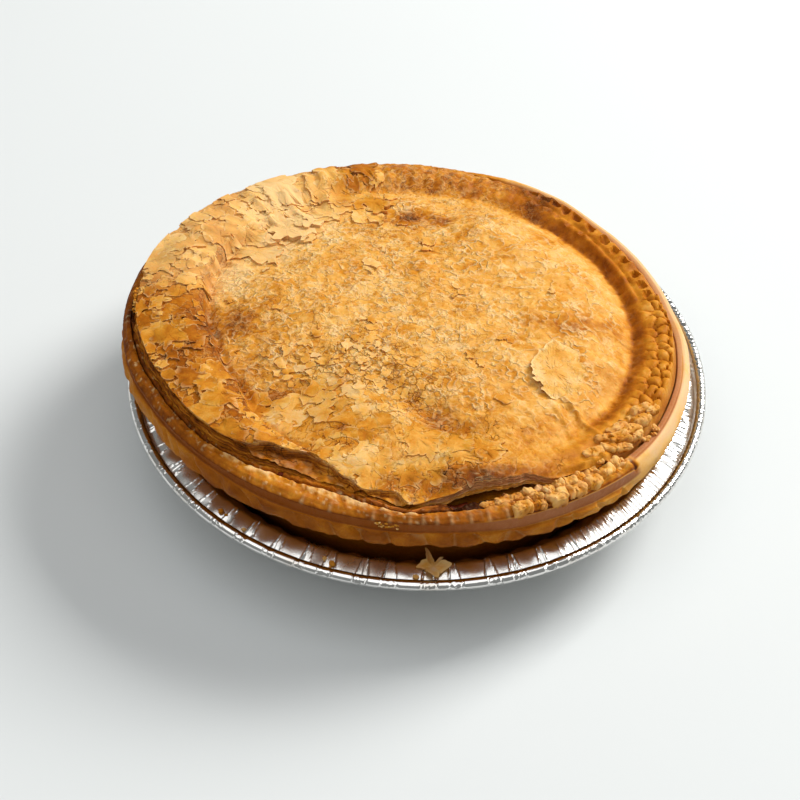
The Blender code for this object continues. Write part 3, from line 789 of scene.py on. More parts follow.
BAKED_PATCHES = [
    (-0.066, -0.012, 0.014, 0.010, 20, 0.34), (-0.0516, -0.0544, 0.0095, 0.0060, 30, 0.30),
    (-0.0021, 0.0632, 0.0055, 0.0042, 0, 0.56), (0.0116, 0.0629, 0.0050, 0.0034, 0, 0.48),
    (0.0655, -0.0026, 0.0180, 0.0070, 5, 0.24), (0.0090, -0.0600, 0.0150, 0.0060, -38, 0.34),
    (-0.0232, -0.0707, 0.0026, 0.0026, 0, 0.34), (-0.0100, 0.0740, 0.0300, 0.0080, 0, 0.12),
    (-0.0720, 0.0210, 0.0150, 0.0090, 60, -0.18), (-0.0500, 0.0410, 0.0200, 0.0130, 40, -0.16),
    (-0.0560, 0.0660, 0.0240, 0.0120, 40, -0.24), (-0.0120, -0.0840, 0.0180, 0.0080, 0, -0.04),
    (0.0120, -0.0120, 0.0280, 0.0220, 0, -0.05), (0.0450, 0.0300, 0.0260, 0.0240, 0, -0.06),
    (0.0680, -0.0560, 0.0110, 0.0090, -55, 0.04), (-0.0455, -0.0256, 0.0100, 0.0080, 0, 0.12),
    (-0.0616, -0.0377, 0.0090, 0.0090, 0, 0.12), (0.0080, -0.0930, 0.0200, 0.0050, 6, 0.20),
    (0.0280, -0.0930, 0.0180, 0.0055, 14, 0.34), (-0.0300, 0.0340, 0.0120, 0.0060, 20, 0.12),
    (-0.0350, -0.0700, 0.0180, 0.0110, -20, -0.08), (0.0180, 0.0480, 0.0120, 0.0050, 60, 0.12),
    (0.0050, -0.0380, 0.0160, 0.0090, -10, 0.08), (0.0480, -0.0160, 0.0100, 0.0100, 0, 0.04),
    (-0.0150, 0.0560, 0.0180, 0.0060, 10, 0.10), (0.0030, 0.0180, 0.0080, 0.0200, 10, 0.07),
]
FOLD_KNOTS = [
    (230, 0.1030), (236, 0.0985), (241, 0.0945), (248, 0.0908), (253, 0.0928), (258, 0.0968), (262, 0.1004),
    (265, 0.0990), (268, 0.0984), (272, 0.1046), (280, 0.1090),
]
NOTCHES = [
    (14.6, 0.0981), (18.2, 0.0976), (22.5, 0.0979), (28.0, 0.0982), (32.4, 0.0981), (36.8, 0.0986),
    (42.4, 0.0997), (47.3, 0.1002), (51.1, 0.1009), (54.3, 0.1021), (57.4, 0.1021), (61.0, 0.1024),
]

# The spots where thin plates lie at the lower left and where the dome has cracked like pebbles.
LOW_LEFT = [(-0.036, -0.066, 0.030, 0.020, 0, 1)]
PEBBLED = [(-0.018, -0.040, 0.036, 0.022, 0, 1)]
BACK_LEFT = (120, 170, 12)
ROPE_COLUMN = 3.1
ROPE_ROW = 0.0046


def polar(x, y):
    """Radius of places about the pie's middle, and their angles from 0 to 360 degrees."""
    return np.hypot(x, y), np.degrees(np.arctan2(y, x)) % 360


def on_pie(x, y, height):
    """Points of the pie in the tin: places about its middle, at heights above the rim plane."""
    return xyz(x + PIE_SHIFT[0], y + PIE_SHIFT[1], rim_plane(x, y) + height)


def drawn_back(degrees):
    """1 at the front left, where the lid's top leaves are drawn back."""
    return sector(degrees, 238, 269, 4)


def top_edge(degrees):
    """Radius of the edge of the lid's top leaves."""
    edge = lid_edge(degrees)
    return edge + (np.minimum(around(degrees, FOLD_KNOTS), edge) - edge) * drawn_back(degrees)


def mounds(x, y, table):
    """The sum of soft oval mounds: middle x and y, half length, half width, turn in degrees, amount."""
    total = 0.0
    for cx, cy, length, width, turn, amount in table:
        along = (x - cx) * np.cos(np.radians(turn)) + (y - cy) * np.sin(np.radians(turn))
        side = (y - cy) * np.cos(np.radians(turn)) - (x - cx) * np.sin(np.radians(turn))
        total = total + amount * np.exp(-((along / length) ** 2) - (side / width) ** 2)
    return total


def raised_ring(radius, past_step):
    """Height on the left: a groove, then a steep step to a broad raised ring of pastry."""
    dome = 0.0026 + 0.0079 * (1 - np.clip(radius / 0.078, 0, 1) ** 2.5)
    crest = 0.0052 * smooth(past_step, -0.0012, 0.0015) + 0.0014 * smooth(past_step, 0.0, 0.0085)
    notch = 0.0012 * bell(past_step + 0.0022, 0.0014)
    return dome + crest - notch - 0.0034 * smooth(past_step, 0.0080, 0.0320)


def roped_edge(radius, past_edge, degrees):
    """Height on the right: the dome falls into a valley, a bank climbs from it to the rope, and outside the
    rope the lid slopes down to its trimmed edge."""
    dome = -0.0002 + 0.0112 * (1 - np.clip(radius / 0.0885, 0, 1) ** 8)
    fall = 0.0048 - 0.0026 * sector(degrees, 30, 60, 20)
    return dome + smooth(radius, 0.0840, 0.0935) * 0.0054 - smooth(past_edge, -0.0020, 0.0) * fall


def back_rim(radius):
    """Height at the back: a shallow valley and a low flaky rim."""
    dome = 0.0018 + 0.0087 * (1 - np.clip(radius / 0.088, 0, 1) ** 3.5)
    return dome + smooth(radius, 0.0875, 0.0955) * 0.0040 - smooth(radius, 0.1000, 0.1070) * 0.0018


def front_slope(radius):
    """Height at the front: the dome runs out to a thin lifted edge."""
    return 0.0060 + 0.0045 * (1 - np.clip(radius / 0.098, 0, 1) ** 3)


def left_side(degrees):
    """1 along the broad ring on the left."""
    return between(degrees % 360, 112, 166, 232, 256)


def rope(radius, degrees):
    """Height of the edge on the right, and 1 in its creases and pits, which get painted shade: rows of
    flattened lumps, square pits behind them, and a crumbly heap in front. All of it was pressed by a fork and
    swelled in the oven."""
    places = xyz(np.radians(degrees) * 0.1, radius)
    bent = 0.32 * waves(places, 0.008, 33)
    column, row = degrees / ROPE_COLUMN + bent + 40, (radius - 0.0922) / ROPE_ROW + bent + 40
    near, next_near, number = cells(column, row, 34, 0.62)
    there = sector(degrees, -30, 13, 2) * between(radius, 0.0912, 0.0945, 0.1030, 0.1046)
    there = there * (0.45 + 0.55 * smooth(radius + 0.002 * bent, 0.0940, 0.0975))
    domed = 0.0004 + 0.0007 * number + 0.0015 * np.clip(1 - (near / 0.62) ** 2, 0, 1)
    height = there * smooth(next_near - near, -0.02, 0.16) * domed
    crease_shade = there * (1 - smooth(next_near - near, 0.0, 0.15))
    ahead = radius - 0.1015 + (degrees + 27) * 0.00020
    heap = sector(degrees, -50, -30, 3) * between(ahead, -0.0075, -0.0030, 0.0042, 0.0056)
    craggy = rough_waves(places, 0.0055, 35, 3)
    height = height + heap * (0.0008 + 0.0017 * craggy)
    crease_shade = np.maximum(crease_shade, heap * smooth(-craggy, 0.15, 0.6))
    turns, middles = np.array(NOTCHES).T
    off = radius - np.interp(degrees, turns, middles)
    pits = np.zeros_like(radius)
    small_pits = np.zeros_like(radius)
    for turn in turns:
        off_turn = (degrees - turn - off * 200) / 1.35
        pits = np.maximum(pits, np.clip(1 - off_turn**4 - (off / 0.0019) ** 4, 0, 1) ** 0.5)
        off_turn = (degrees - turn + 1.5 + off * 200) / 0.9
        small_pit = np.clip(1 - off_turn**4 - ((off + 0.0058) / 0.0012) ** 4, 0, 1) ** 0.5
        small_pits = np.maximum(small_pits, small_pit)
    pitted = sector(degrees, 15, 60, 5)
    body = 0.0016 * np.clip(1 - (off / 0.0040) ** 4, 0, 1) + 0.0013 * bell(off + 0.0060, 0.0018)
    body = body * (1 + 0.6 * waves(places, 0.0040, 36))
    small_pits = small_pits * sector(degrees, 42, 62, 4)
    height = height + pitted * (body - 0.0024 * pits - 0.0009 * small_pits)
    crease_shade = np.maximum(crease_shade, pitted * np.maximum(0.55 * pits, 0.40 * small_pits))
    bank = sector(degrees, -50, 62, 5) * smooth(radius, 0.084, 0.088)
    height = height + bank * (0.0004 * waves(places, 0.0050, 37) + 0.0002 * waves(places, 0.0024, 38))
    return height, crease_shade


def back_folds(radius, degrees):
    """Height of the folds that run outwards: broad and pale over the slope at the back left, and narrow
    crimps over the rim at the back."""
    draw = np.random.default_rng(31)
    total = 0.0
    for middle in np.arange(114, 172, 5.4):
        middle = middle + draw.uniform(-1.6, 1.6) + (radius - 0.09) * draw.uniform(-200, 200)
        width = draw.uniform(0.9, 1.8)
        total = total + draw.uniform(0.5, 1.2) * bell(degrees - middle, width)
    crimps = 0.0
    for middle in np.arange(58, 116, 3.4):
        middle = middle + draw.uniform(-0.9, 0.9) + (radius - 0.098) * draw.uniform(-120, 120)
        crimps = crimps + draw.uniform(0.5, 1.1) * bell(degrees - middle, 0.75)
    slope = between(radius, 0.070, 0.082, 0.098, 0.104)
    return 0.0013 * total * slope - 0.0007 * crimps * smooth(radius, 0.089, 0.094)


def lid_surface(x, y):
    """Height of the lid's top above the rim plane: its form, rope, folds and ripples, without the grain."""
    radius, degrees = polar(x, y)
    flat = xyz(x, y)
    past_step = radius - around(degrees, STEP_KNOTS) + 0.0011 * waves(flat, 0.0065, 40)
    shares = [left_side(degrees), sector(degrees, -48, 62, 18), sector(degrees, 256, 304, 22)]
    shares.append(np.clip(1 - sum(shares), 0, 1))
    forms = [
        raised_ring(radius, past_step), roped_edge(radius, radius - lid_edge(degrees), degrees),
        front_slope(radius), back_rim(radius),
    ]
    height = sum(share * form for share, form in zip(shares, forms)) / sum(shares)
    height = height + mounds(x, y, SWELLS + RIPPLES)
    height = height + rope(radius, signed(degrees))[0] + back_folds(radius, degrees)
    height = height + 0.0007 * waves(flat, 0.016, 41) * smooth(0.100 - radius, 0.0, 0.02)
    arch = sector(degrees, 283, 295, 7) * smooth(radius, 0.086, 0.097)
    dip = sector(degrees, 268, 275, 8) * smooth(radius, 0.076, 0.096)
    past_fold = radius - top_edge(degrees) - 0.0005 * waves(flat, 0.0035, 39)
    dropped = smooth(past_fold, 0.0, 0.0012) * (0.0034 - 0.0014 * smooth(degrees, 254, 264))
    terrace = smooth(past_fold, 0.0010, 0.0018) * 0.0009 * rough_waves(flat, 0.0036, 48)
    return height - 0.0018 * dip + 0.0010 * arch - drawn_back(degrees) * (dropped - terrace)


def leaves(x, y, size, seed):
    """How deep a place lies inside a torn leaf of pastry: above 0 on it, below 0 off it."""
    flat = xyz(x, y)
    bend = xyz(waves(flat, size / 3, seed + 7), waves(flat, size / 3, seed + 8))
    return rough_waves(flat + 0.25 * size * bend, size, seed, 4)


def lid_detail(x, y):
    """Height that the blisters and thin torn leaves add to the lid, and how far they lighten or darken it."""
    radius, degrees = polar(x, y)
    flat = xyz(x, y)
    plated = plate_cover(x, y)
    rough = (1 - 0.85 * sector(degrees, -48, 62, 12) * smooth(radius, 0.086, 0.092)) * (1 - 0.8 * plated)
    height = (0.00030 * waves(flat, 0.0050, 42) + 0.00016 * waves(flat, 0.0024, 43)) * (0.4 + 0.6 * rough)
    shade = 0.0
    for size, thickness, seed in ((0.014, 0.00034, 51), (0.008, 0.00028, 61)):
        depth = leaves(x, y, size, seed)
        height = height + thickness * smooth(depth, 0.02, 0.10) * rough
        # A leaf is lighter just inside its edge, part thin pastry and part painted highlight, and darker just
        # outside it, part crack and part painted shadow under the edge.
        shade = shade - 0.07 * between(depth, 0.0, 0.08, 0.10, 0.30) * rough
        shade = shade + 0.06 * between(-depth, -0.02, 0.04, 0.06, 0.20) * rough
    return height, shade


def plate_cover(x, y):
    """1 where the lid's top leaves have broken into plates, 0 elsewhere."""
    radius, degrees = polar(x, y)
    ring = sector(degrees, 150, 256, 8) * smooth(radius - around(degrees, STEP_KNOTS), -0.002, 0.001)
    back_left = sector(degrees, 106, 156, 8) * smooth(radius, 0.062, 0.070)
    return np.maximum(np.maximum(ring, back_left), smooth(mounds(x, y, LOW_LEFT), 0.35, 0.5))


def lid_tone(x, y):
    """How browned the lid is by place, from 0, pale, to 1, burnt."""
    radius, degrees = polar(x, y)
    past_step = radius - around(degrees, STEP_KNOTS)
    ringed = smooth(past_step, -0.002, 0.002) * (0.07 + 0.15 * sector(degrees, 188, 250, 15))
    # The groove at the foot of the ring's step is darker: part browning, part painted shade.
    tone = 0.30 + left_side(degrees) * (ringed + 0.26 * bell(past_step + 0.0016, 0.0018))
    # Darker on the bank that climbs from the valley to the rope on the right, and over the valley and rim at
    # the back: part browning, part painted shade.
    tone = tone + 0.38 * sector(degrees, -34, 54, 10) * between(radius, 0.0860, 0.0884, 0.0905, 0.0940)
    roped = sector(degrees, -50, 64, 5) * smooth(radius, 0.0910, 0.0930)
    # Painted shade: the rope's creases and pits are darkened.
    tone = tone + roped * (0.10 + 0.10 * sector(degrees, 15, 60, 5)) + 0.24 * rope(radius, signed(degrees))[1]
    tone = tone + 0.23 * sector(degrees, 60, 106, 10) * smooth(radius, 0.084, 0.091)
    tone = tone + 0.13 * sector(degrees, 272, 304, 10) * smooth(radius, 0.084, 0.096)
    tone = tone + 0.06 * sector(degrees, 250, 300, 12) * smooth(radius, 0.058, 0.070)
    past_fold = radius - top_edge(degrees)
    folded = 0.12 * smooth(past_fold, 0.0, 0.0006) - 0.06 * smooth(past_fold, 0.0012, 0.0022)
    return tone + drawn_back(degrees) * folded + mounds(x, y, BAKED_PATCHES)


lid_radius = [np.full(6 * ring, DOME_RADIUS * ring / DOME_RINGS) for ring in range(1, DOME_RINGS + 1)]
lid_degrees = [np.arange(6 * ring) * 60.0 / ring for ring in range(1, DOME_RINGS + 1)]
degrees = np.arange(LID_RAYS) * 360.0 / LID_RAYS
turn = np.radians(degrees)
ragged = 1 - sector(degrees, -40, 64, 6)
edge = lid_edge(degrees) - 0.0012 * sector(degrees, 283, 296, 6)
edge = edge - 0.0008 * ragged * np.clip(rough_waves(on_ring(0.105, turn), 0.006, 81), -0.3, 1)
for share in np.concatenate([np.linspace(0, 0.4, 13)[1:], np.linspace(0.4, 1, LID_STEPS - 11)[1:]]):
    lid_radius.append(DOME_RADIUS + (edge - DOME_RADIUS) * share)
    lid_degrees.append(degrees)
counts = [len(ring) for ring in lid_radius]
radius = np.concatenate(lid_radius)
turned = np.radians(np.concatenate(lid_degrees))
x, y = radius * np.cos(turned), radius * np.sin(turned)
around_pie = np.degrees(turned) % 360
detail, shade = lid_detail(x, y)
surface_height = lid_surface(x, y) + detail
flat = xyz(x, y)
cover = plate_cover(x, y)
tone = lid_tone(x, y) + shade + 0.08 * rough_waves(flat, 0.010, 82) + 0.05 * rough_waves(flat, 0.0035, 83)
tone = tone + 0.11 * cover
roped = sector(around_pie, -50, 64, 8) * smooth(radius, 0.089, 0.093)
trimmed = 0.55 * sector(around_pie, -42, 12, 6) * smooth(radius - lid_edge(around_pie), -0.0014, -0.0008)
shady = sector(around_pie, -48, 64, 8) * smooth(radius, 0.0825, 0.0860)
shady = np.maximum(shady, 0.7 * sector(around_pie, 60, 104, 10) * smooth(radius, 0.083, 0.088))
burnt = np.clip(1.7 * mounds(x, y, [patch for patch in BAKED_PATCHES if patch[5] > 0.3]), 0, 0.9)
past_fold = radius - top_edge(around_pie)
on_fold = drawn_back(around_pie) * smooth(past_fold, -0.0002, 0.0004)
worm_share = (1 - cover) * (1 - roped) * (0.55 + 0.45 * smooth(waves(flat, 0.014, 84), -0.3, 0.3))
worm_share *= 1 - 0.7 * sector(around_pie, 252, 306, 10) * smooth(radius, 0.060, 0.075)
worm_share *= (1 - 0.9 * shady) * (1 - burnt) * (1 - on_fold)
torn_share = (1 - np.maximum(roped, 0.8 * shady)) * (0.48 - 0.42 * smooth(x, 0.0, 0.05))
torn_share += 0.30 * sector(around_pie, 60, 112, 12) * smooth(radius, 0.06, 0.07)
torn_share *= 1 - on_fold
fold_strata = on_fold * (1 - smooth(past_fold, 0.0012, 0.0020))
crumbled = np.clip(0.25 + rough_waves(flat, 0.0030, 86), 0, 1)
# Painted highlight: the thin pale line along the lid's fold edge at the front left. The rest of this mark is
# pale pastry at the back left and on the crumbled terrace.
pale_and_edge_highlight = 0.6 * sector(around_pie, 236, 272, 4) * bell(past_fold + 0.0003, 0.0004)
pale_and_edge_highlight += 0.22 * sector(around_pie, *BACK_LEFT) * smooth(radius, 0.058, 0.074)
pale_and_edge_highlight += 0.22 * on_fold * smooth(past_fold, 0.0014, 0.0022) * crumbled
pebble_share = mounds(x, y, PEBBLED) * (1 - cover) + 0.3 * waves(flat, 0.012, 85)
pebble_share = smooth(pebble_share, 0.25, 0.75)
hair_share = sector(around_pie, 236, 300, 12) * smooth(radius, 0.055, 0.066)

# Edge: leaf upon leaf from the top down to where the lid sits on the crust.
LEAVES = 16
edge_top = surface_height[-LID_RAYS:]
edge_bottom = lid_seat(degrees) + 0.0010 * sector(degrees, 283, 296, 5)
layers_show = ragged * (1 - 0.6 * sector(degrees, 66, 140, 10))
arched = sector(degrees, 277, 300, 6)
edge_points, edge_tones, edge_cut, edge_pale = [], [], [], []
for leaf in range(1, LEAVES + 1):
    share = leaf / LEAVES
    ragged_leaf = rough_waves(on_ring(edge, turn, 0.01 * leaf), 0.005, 91)
    depth = (0.00040 * (leaf % 2) + 0.0005 * np.clip(ragged_leaf, -0.5, 1)) * (0.15 + 0.85 * ragged)
    tucked = 0.0005 * np.sin(np.pi * share) * (1 - arched) - 0.0011 * share * arched
    lower_layer = sector(degrees, 188, 262, 8) * smooth(share, 0.42, 0.62)
    reach = edge - depth - tucked + (1 - ragged) * 0.0003 * np.sin(np.pi * share)
    reach = reach + lower_layer * (0.0013 + 0.0006 * ragged_leaf)
    risen = edge_top + (edge_bottom - edge_top) * share
    edge_points.append(on_pie(reach * np.cos(turn), reach * np.sin(turn), risen))
    layered = 0.70 + 0.14 * (leaf % 2) + 0.14 * ragged_leaf - 0.26 * (leaf <= 1) - 0.10 * lower_layer
    golden_foot = 0.30 * smooth(share, 0.62, 0.74) * arched
    face = 0.42 + (layered - 0.42) * layers_show - golden_foot
    edge_tones.append(face + (0.12 - 0.10 * (leaf % 2) - face) * arched * (share < 0.66))
    trimmed_face = 0.5 * sector(degrees, -42, 22, 6)
    edge_cut.append(trimmed_face + 0.85 * arched * (1 - smooth(share, 0.58, 0.70)) * (leaf > 1))
    edge_pale.append(0.45 * arched * smooth(share, 0.66, 0.80) * np.clip(0.3 + ragged_leaf, 0, 1))
under_points = []
for inset, rise in ((0.004, 0.0), (0.012, -0.0005), (0.030, -0.0005)):
    under_x, under_y = (edge - inset) * np.cos(turn), (edge - inset) * np.sin(turn)
    hung = np.minimum(lid_surface(under_x, under_y) - LID_THICKNESS, edge_bottom + 0.004)
    under_points.append(on_pie(under_x, under_y, (edge_bottom if inset < 0.005 else hung) + rise))
peak = rim_plane(0, 0) + float(lid_surface(np.zeros(1), np.zeros(1))[0])
lid_points = np.concatenate([
    [(*PIE_SHIFT, peak)], on_pie(x, y, surface_height), *edge_points, *under_points,
    [(*PIE_SHIFT, peak - LID_THICKNESS)],
])
lid_faces = skin(counts + [LID_RAYS] * (LEAVES + len(under_points)))


def lid_mark(first, top, edge_value=np.zeros(LEAVES * LID_RAYS), last=0.0):
    """A mark of the lid's points: its middle, top, edge and underside."""
    return np.concatenate([[first], top, edge_value, np.full(len(under_points) * LID_RAYS + 1, last)])


lid_marks = {
    "tone": lid_mark(0.3, tone, np.concatenate(edge_tones), 0.6),
    "worm": lid_mark(1.0, worm_share),
    "torn": lid_mark(0.4, torn_share),
    "pebble": lid_mark(0.0, pebble_share),
    "hair": lid_mark(0.0, hair_share),
    "strata": lid_mark(0.0, fold_strata, np.tile(layers_show * (1 - 0.75 * arched), LEAVES)),
    "pale": lid_mark(0.0, pale_and_edge_highlight, np.concatenate(edge_pale)),
    "cut": lid_mark(0.0, trimmed, np.concatenate(edge_cut)),
}
lid_finish = baked_finish("lid_pastry", 0.24, 0.00030, 0.48, flaky=True)
lid = piece("puff_pastry_lid", lid_points, lid_faces, lid_finish, lid_marks, 60)
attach(lid, "root")
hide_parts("lid")


# Broken leaves of the lid: where the top layers dried and cracked they have parted into thin plates with
# torn outlines. They overlap in shingles on the ring at the left, stand along the folds at the back left,
# and lie flat and pale at the lower left.
PLATE_TRIES = 16000
PLATE_THICKNESS = 0.00030
PLATE_LEVELS = [(0.0, 0), (0.55, 0), (0.86, 0), (1.0, 0), (1.0, 1), (0.0, 1)]


def ring_plate_size(x, y):
    """About how wide the plates of the ring are at a place, or 0 where there are none."""
    radius, degrees = polar(x, y)
    inside = radius < top_edge(degrees) - 0.0012
    ring = sector(degrees, 148, 256, 4) * (radius > around(degrees, STEP_KNOTS) + 0.0026) * inside
    front = sector(degrees, 250, 288, 4) * (radius > 0.070) * inside
    back_left = sector(degrees, 106, 152, 6) * (radius > 0.072) * inside
    size = np.where(back_left > 0.5, 0.0080, 0.0)
    size = np.where(front > 0.5, 0.0100, size)
    size = np.where(mounds(x, y, LOW_LEFT) > 0.38, 0.0078, size)
    return np.where(ring > 0.5, 0.0082, size)


def chip_size(x, y):
    """Small chips lie on and between the plates of the ring, and here and there at the back."""
    radius, degrees = polar(x, y)
    inside = radius < top_edge(degrees) - 0.0012
    ring = sector(degrees, 140, 256, 4) * (radius > around(degrees, STEP_KNOTS) - 0.0004) * inside
    back = sector(degrees, 100, 140, 6) * (radius > 0.064) * (radius < 0.100)
    size = np.where(back > 0.5, 0.0040, 0.0)
    return np.where(ring > 0.5, 0.0042, size)


def scattered(tries, size_at, seed, apart=0.40):
    """Random places, each about its own size away from those before it, with those sizes."""
    draw = np.random.default_rng(seed)
    drawn = draw.uniform(-0.108, 0.108, (tries, 2))
    sizes = size_at(drawn[:, 0], drawn[:, 1]) * draw.uniform(0.60, 1.45, tries)
    kept = np.zeros((tries, 2))
    spread = np.zeros(tries)
    count = 0
    for spot, size in zip(drawn, sizes):
        if size > 0 and (np.hypot(*(kept[:count] - spot).T) > apart * (spread[:count] + size)).all():
            kept[count] = spot
            spread[count] = size
            count += 1
    return kept[:count, 0] + 1j * kept[:count, 1], spread[:count]


def patch_outline(middle, others, reach):
    """Outline of the ground nearer to middle than to the others, places being complex numbers: a polygon
    that is cut by one line after another."""
    outline = [middle + reach * np.exp(1j * np.pi * corner / 4) for corner in range(8)]
    for other in others:
        half, away = (middle + other) / 2, (other - middle).conjugate()
        cut = []
        for here, there in zip(outline, outline[1:] + outline[:1]):
            a, b = ((here - half) * away).real, ((there - half) * away).real
            if a <= 0:
                cut.append(here)
            if a * b < 0:
                cut.append(here + (there - here) * a / (a - b))
        outline = cut
    return outline


def divided(outline, step):
    """The corners of an outline of complex numbers, with points between them no more than a step apart."""
    border = []
    for here, there in zip(outline, np.roll(outline, -1)):
        parts = max(1, int(np.ceil(abs(there - here) / step)))
        border += [here + (there - here) * part / parts for part in range(parts)]
    return np.array(border)


def sheet(middle, offset, levels):
    """Rings of a thin sheet, each a share of the way from its middle to the border that lies at an offset
    from it, on its top or underside. Returns places as complex numbers, shares, and 1 for the underside."""
    rings = [middle + offset * share if share else np.array([middle]) for share, _ in levels]
    lengths = [len(ring) for ring in rings]
    return np.concatenate(rings), *(np.repeat(values, lengths) for values in zip(*levels))


def plates(spots, sizes, step, seed, grown, lifted, leaning, missing):
    """Thin plates, one on each spot: x, y, share, underside, lift and number of each point, and the faces."""
    draw = np.random.default_rng(seed)
    rows = []
    faces = []
    total = 0
    for spot, size in zip(spots, sizes):
        chance, grow, lift, lean, turn, bake = draw.uniform(0, 1, 6)
        if chance < missing:
            continue
        away = np.abs(spots - spot)
        others = spots[(away > 0) & (away < 2.4 * size)]
        others = others[np.argsort(np.abs(others - spot))][:14]
        border = divided(patch_outline(spot, others.tolist(), 0.62 * size), step)
        if len(border) < 6:
            continue
        offset = (border - spot) * (grown[0] + (grown[1] - grown[0]) * grow)
        outward = spot / abs(spot)
        long = 0.7 * float(sector(np.degrees(np.angle(spot)), 104, 150, 8))
        offset = offset + (offset * outward.conjugate()).real * outward * long
        place, share, under = sheet(spot, offset, PLATE_LEVELS)
        tilt = leaning * lean**3 * np.exp(2j * np.pi * turn)
        risen = lifted[0] + (lifted[1] - lifted[0]) * lift
        risen = risen + np.maximum(((place - spot) * tilt.conjugate()).real, -0.0001)
        rows.append([place.real, place.imag, share, under, risen * (1 - under), np.full(len(place), bake)])
        faces += skin([len(border)] * 4, total)
        total += len(place)
    return np.concatenate(rows, axis=1), faces


def plate_piece(name, made, coarse, fine, seed, thin, pale, lighter):
    """Lays plates on the lid, with outlines torn by random waves, and makes them one piece."""
    (x, y, share, under, lift, number), faces = made
    flat = xyz(x, y, number)
    for size, amount, shift in ((0.0042, coarse, 0), (0.0019, 0.75 * coarse, 2), (0.0009, fine, 4)):
        x = x + amount * waves(flat, size, seed + shift) * share**1.5
        y = y + amount * waves(flat, size, seed + shift + 1) * share**1.5
    radius, degrees = polar(x, y)
    inside = np.minimum(1, (top_edge(degrees) + 0.0002) / radius)
    x, y = x * inside, y * inside
    flush = sector(degrees, 256, 290, 6) + 0.5 * smooth(mounds(x, y, LOW_LEFT), 0.35, 0.5)
    flat = xyz(x, y)
    height = lid_surface(x, y) + lid_detail(x, y)[0] + lift * (1 - 0.7 * np.clip(flush, 0, 1))
    height = height + (0.00014 * waves(flat, 0.0030, 93) + 0.00008 * waves(flat, 0.0015, 94)) * (1 - under)
    points = on_pie(x, y, height - under * (thin + (1 - share) * 0.0010))
    near_edge = smooth(share, 0.86, 1.0)
    tone = lid_tone(x, y) + 0.32 * (number - 0.5) + 0.10 * rough_waves(flat, 0.004, 95) - lighter
    # Each plate's top is paler near its edge, part thin pastry and part painted highlight, and the foot of
    # its edge is darker, as painted shade.
    tone = tone + 0.10 * under * near_edge
    edge_pale = pale * near_edge * (1 - under) * (0.6 + 0.6 * waves(flat, 0.003, 96))
    edge_pale = edge_pale + 0.22 * sector(degrees, *BACK_LEFT)
    marks = {"tone": tone, "pale": np.clip(edge_pale, 0, 1), "hair": 0 * tone + 0.4}
    return piece(name, points, faces, plate_finish, marks, 50)


plate_finish = baked_finish("plate_pastry", 0.26, 0.00026, 0.60, flaky=True)
spots, sizes = scattered(PLATE_TRIES, ring_plate_size, 101)
made = plates(
    spots, sizes, step=0.00045, seed=102, grown=(0.62, 1.55), lifted=(0.00010, 0.00100), leaning=0.24,
    missing=0.28,
)
ring_plates = plate_piece(
    "broken_lid_leaves", made, coarse=0.0034, fine=0.0011, seed=103, thin=PLATE_THICKNESS, pale=0.42,
    lighter=0.06,
)
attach(ring_plates, "root")


# Chips and small flakes of the lid, each a few millimetres wide and paper thin: chips on the ring, flakes
# in the middle.
FLAKE_TRIES = 12000
FLAKE_THICKNESS = 0.0002
MANY_FLAKES = [(-0.022, -0.042, 0.044, 0.026, 0, 1)]


def flake_size(x, y):
    """Small flakes lie where there are no large plates, thickest at the lower left of the middle."""
    many = 1.5 * mounds(x, y, MANY_FLAKES) + waves(xyz(x, y), 0.011, 111)
    wanted = (np.hypot(x, y) < 0.078) & (ring_plate_size(x, y) == 0) & (many > 0.72)
    return np.where(wanted, 0.0031, chip_size(x, y))


spots, sizes = scattered(FLAKE_TRIES, flake_size, 112, 0.50)
made = plates(
    spots, sizes, step=0.00050, seed=113, grown=(0.75, 1.25), lifted=(0.00030, 0.00080), leaning=0.16,
    missing=0.48,
)
small_flakes = plate_piece(
    "small_lid_flakes", made, coarse=0.0016, fine=0.0007, seed=114, thin=FLAKE_THICKNESS, pale=0.60,
    lighter=0.08,
)
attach(small_flakes, "root")


# Raised leaf: one large thin leaf of the lid's top layer, on the right, whose left lobe has curled free
# while its right side is still baked to the lid. Its outline is from the pie's middle, in metres.
RAISED_LEAF = [
    (0.0545, -0.0156), (0.0588, -0.0173), (0.0644, -0.0196), (0.0670, -0.0262), (0.0675, -0.0320),
    (0.0655, -0.0385), (0.0625, -0.0425), (0.0580, -0.0450), (0.0545, -0.0470), (0.0521, -0.0456),
    (0.0501, -0.0435), (0.0491, -0.0408), (0.0473, -0.0393), (0.0471, -0.0361),
    (0.0463, -0.0333), (0.0463, -0.0308), (0.0477, -0.0274), (0.0503, -0.0225),
]
LEAF_STEP = 0.0004
LEAF_RINGS = [0.15, 0.3, 0.45, 0.6, 0.72, 0.82, 0.90, 0.96, 1.0]
leaf_outline = np.array([x + 1j * y for x, y in RAISED_LEAF])
leaf_middle = leaf_outline.mean()
leaf_offset = divided(leaf_outline, LEAF_STEP) - leaf_middle
leaf_levels = [(0.0, 0), *((share, 0) for share in LEAF_RINGS), (1.0, 1), (0.6, 1), (0.0, 1)]
place, share, under = sheet(leaf_middle, leaf_offset, leaf_levels)
flat = xyz(place.real, place.imag)
x = place.real + share**2 * (0.0011 * waves(flat, 0.0024, 141) + 0.0005 * waves(flat, 0.0011, 142))
y = place.imag + share**2 * (0.0011 * waves(flat, 0.0024, 143) + 0.0005 * waves(flat, 0.0011, 144))
free = 1 - smooth(x - 0.25 * (y + 0.033), 0.0500, 0.0630)
lift = 0.00035 + free * (0.0003 + 0.0012 * share**3) - 0.0004 * (1 - free) * share**3
height = lid_surface(x, y) + lid_detail(x, y)[0] + lift + 0.0002 * waves(flat, 0.0040, 145)
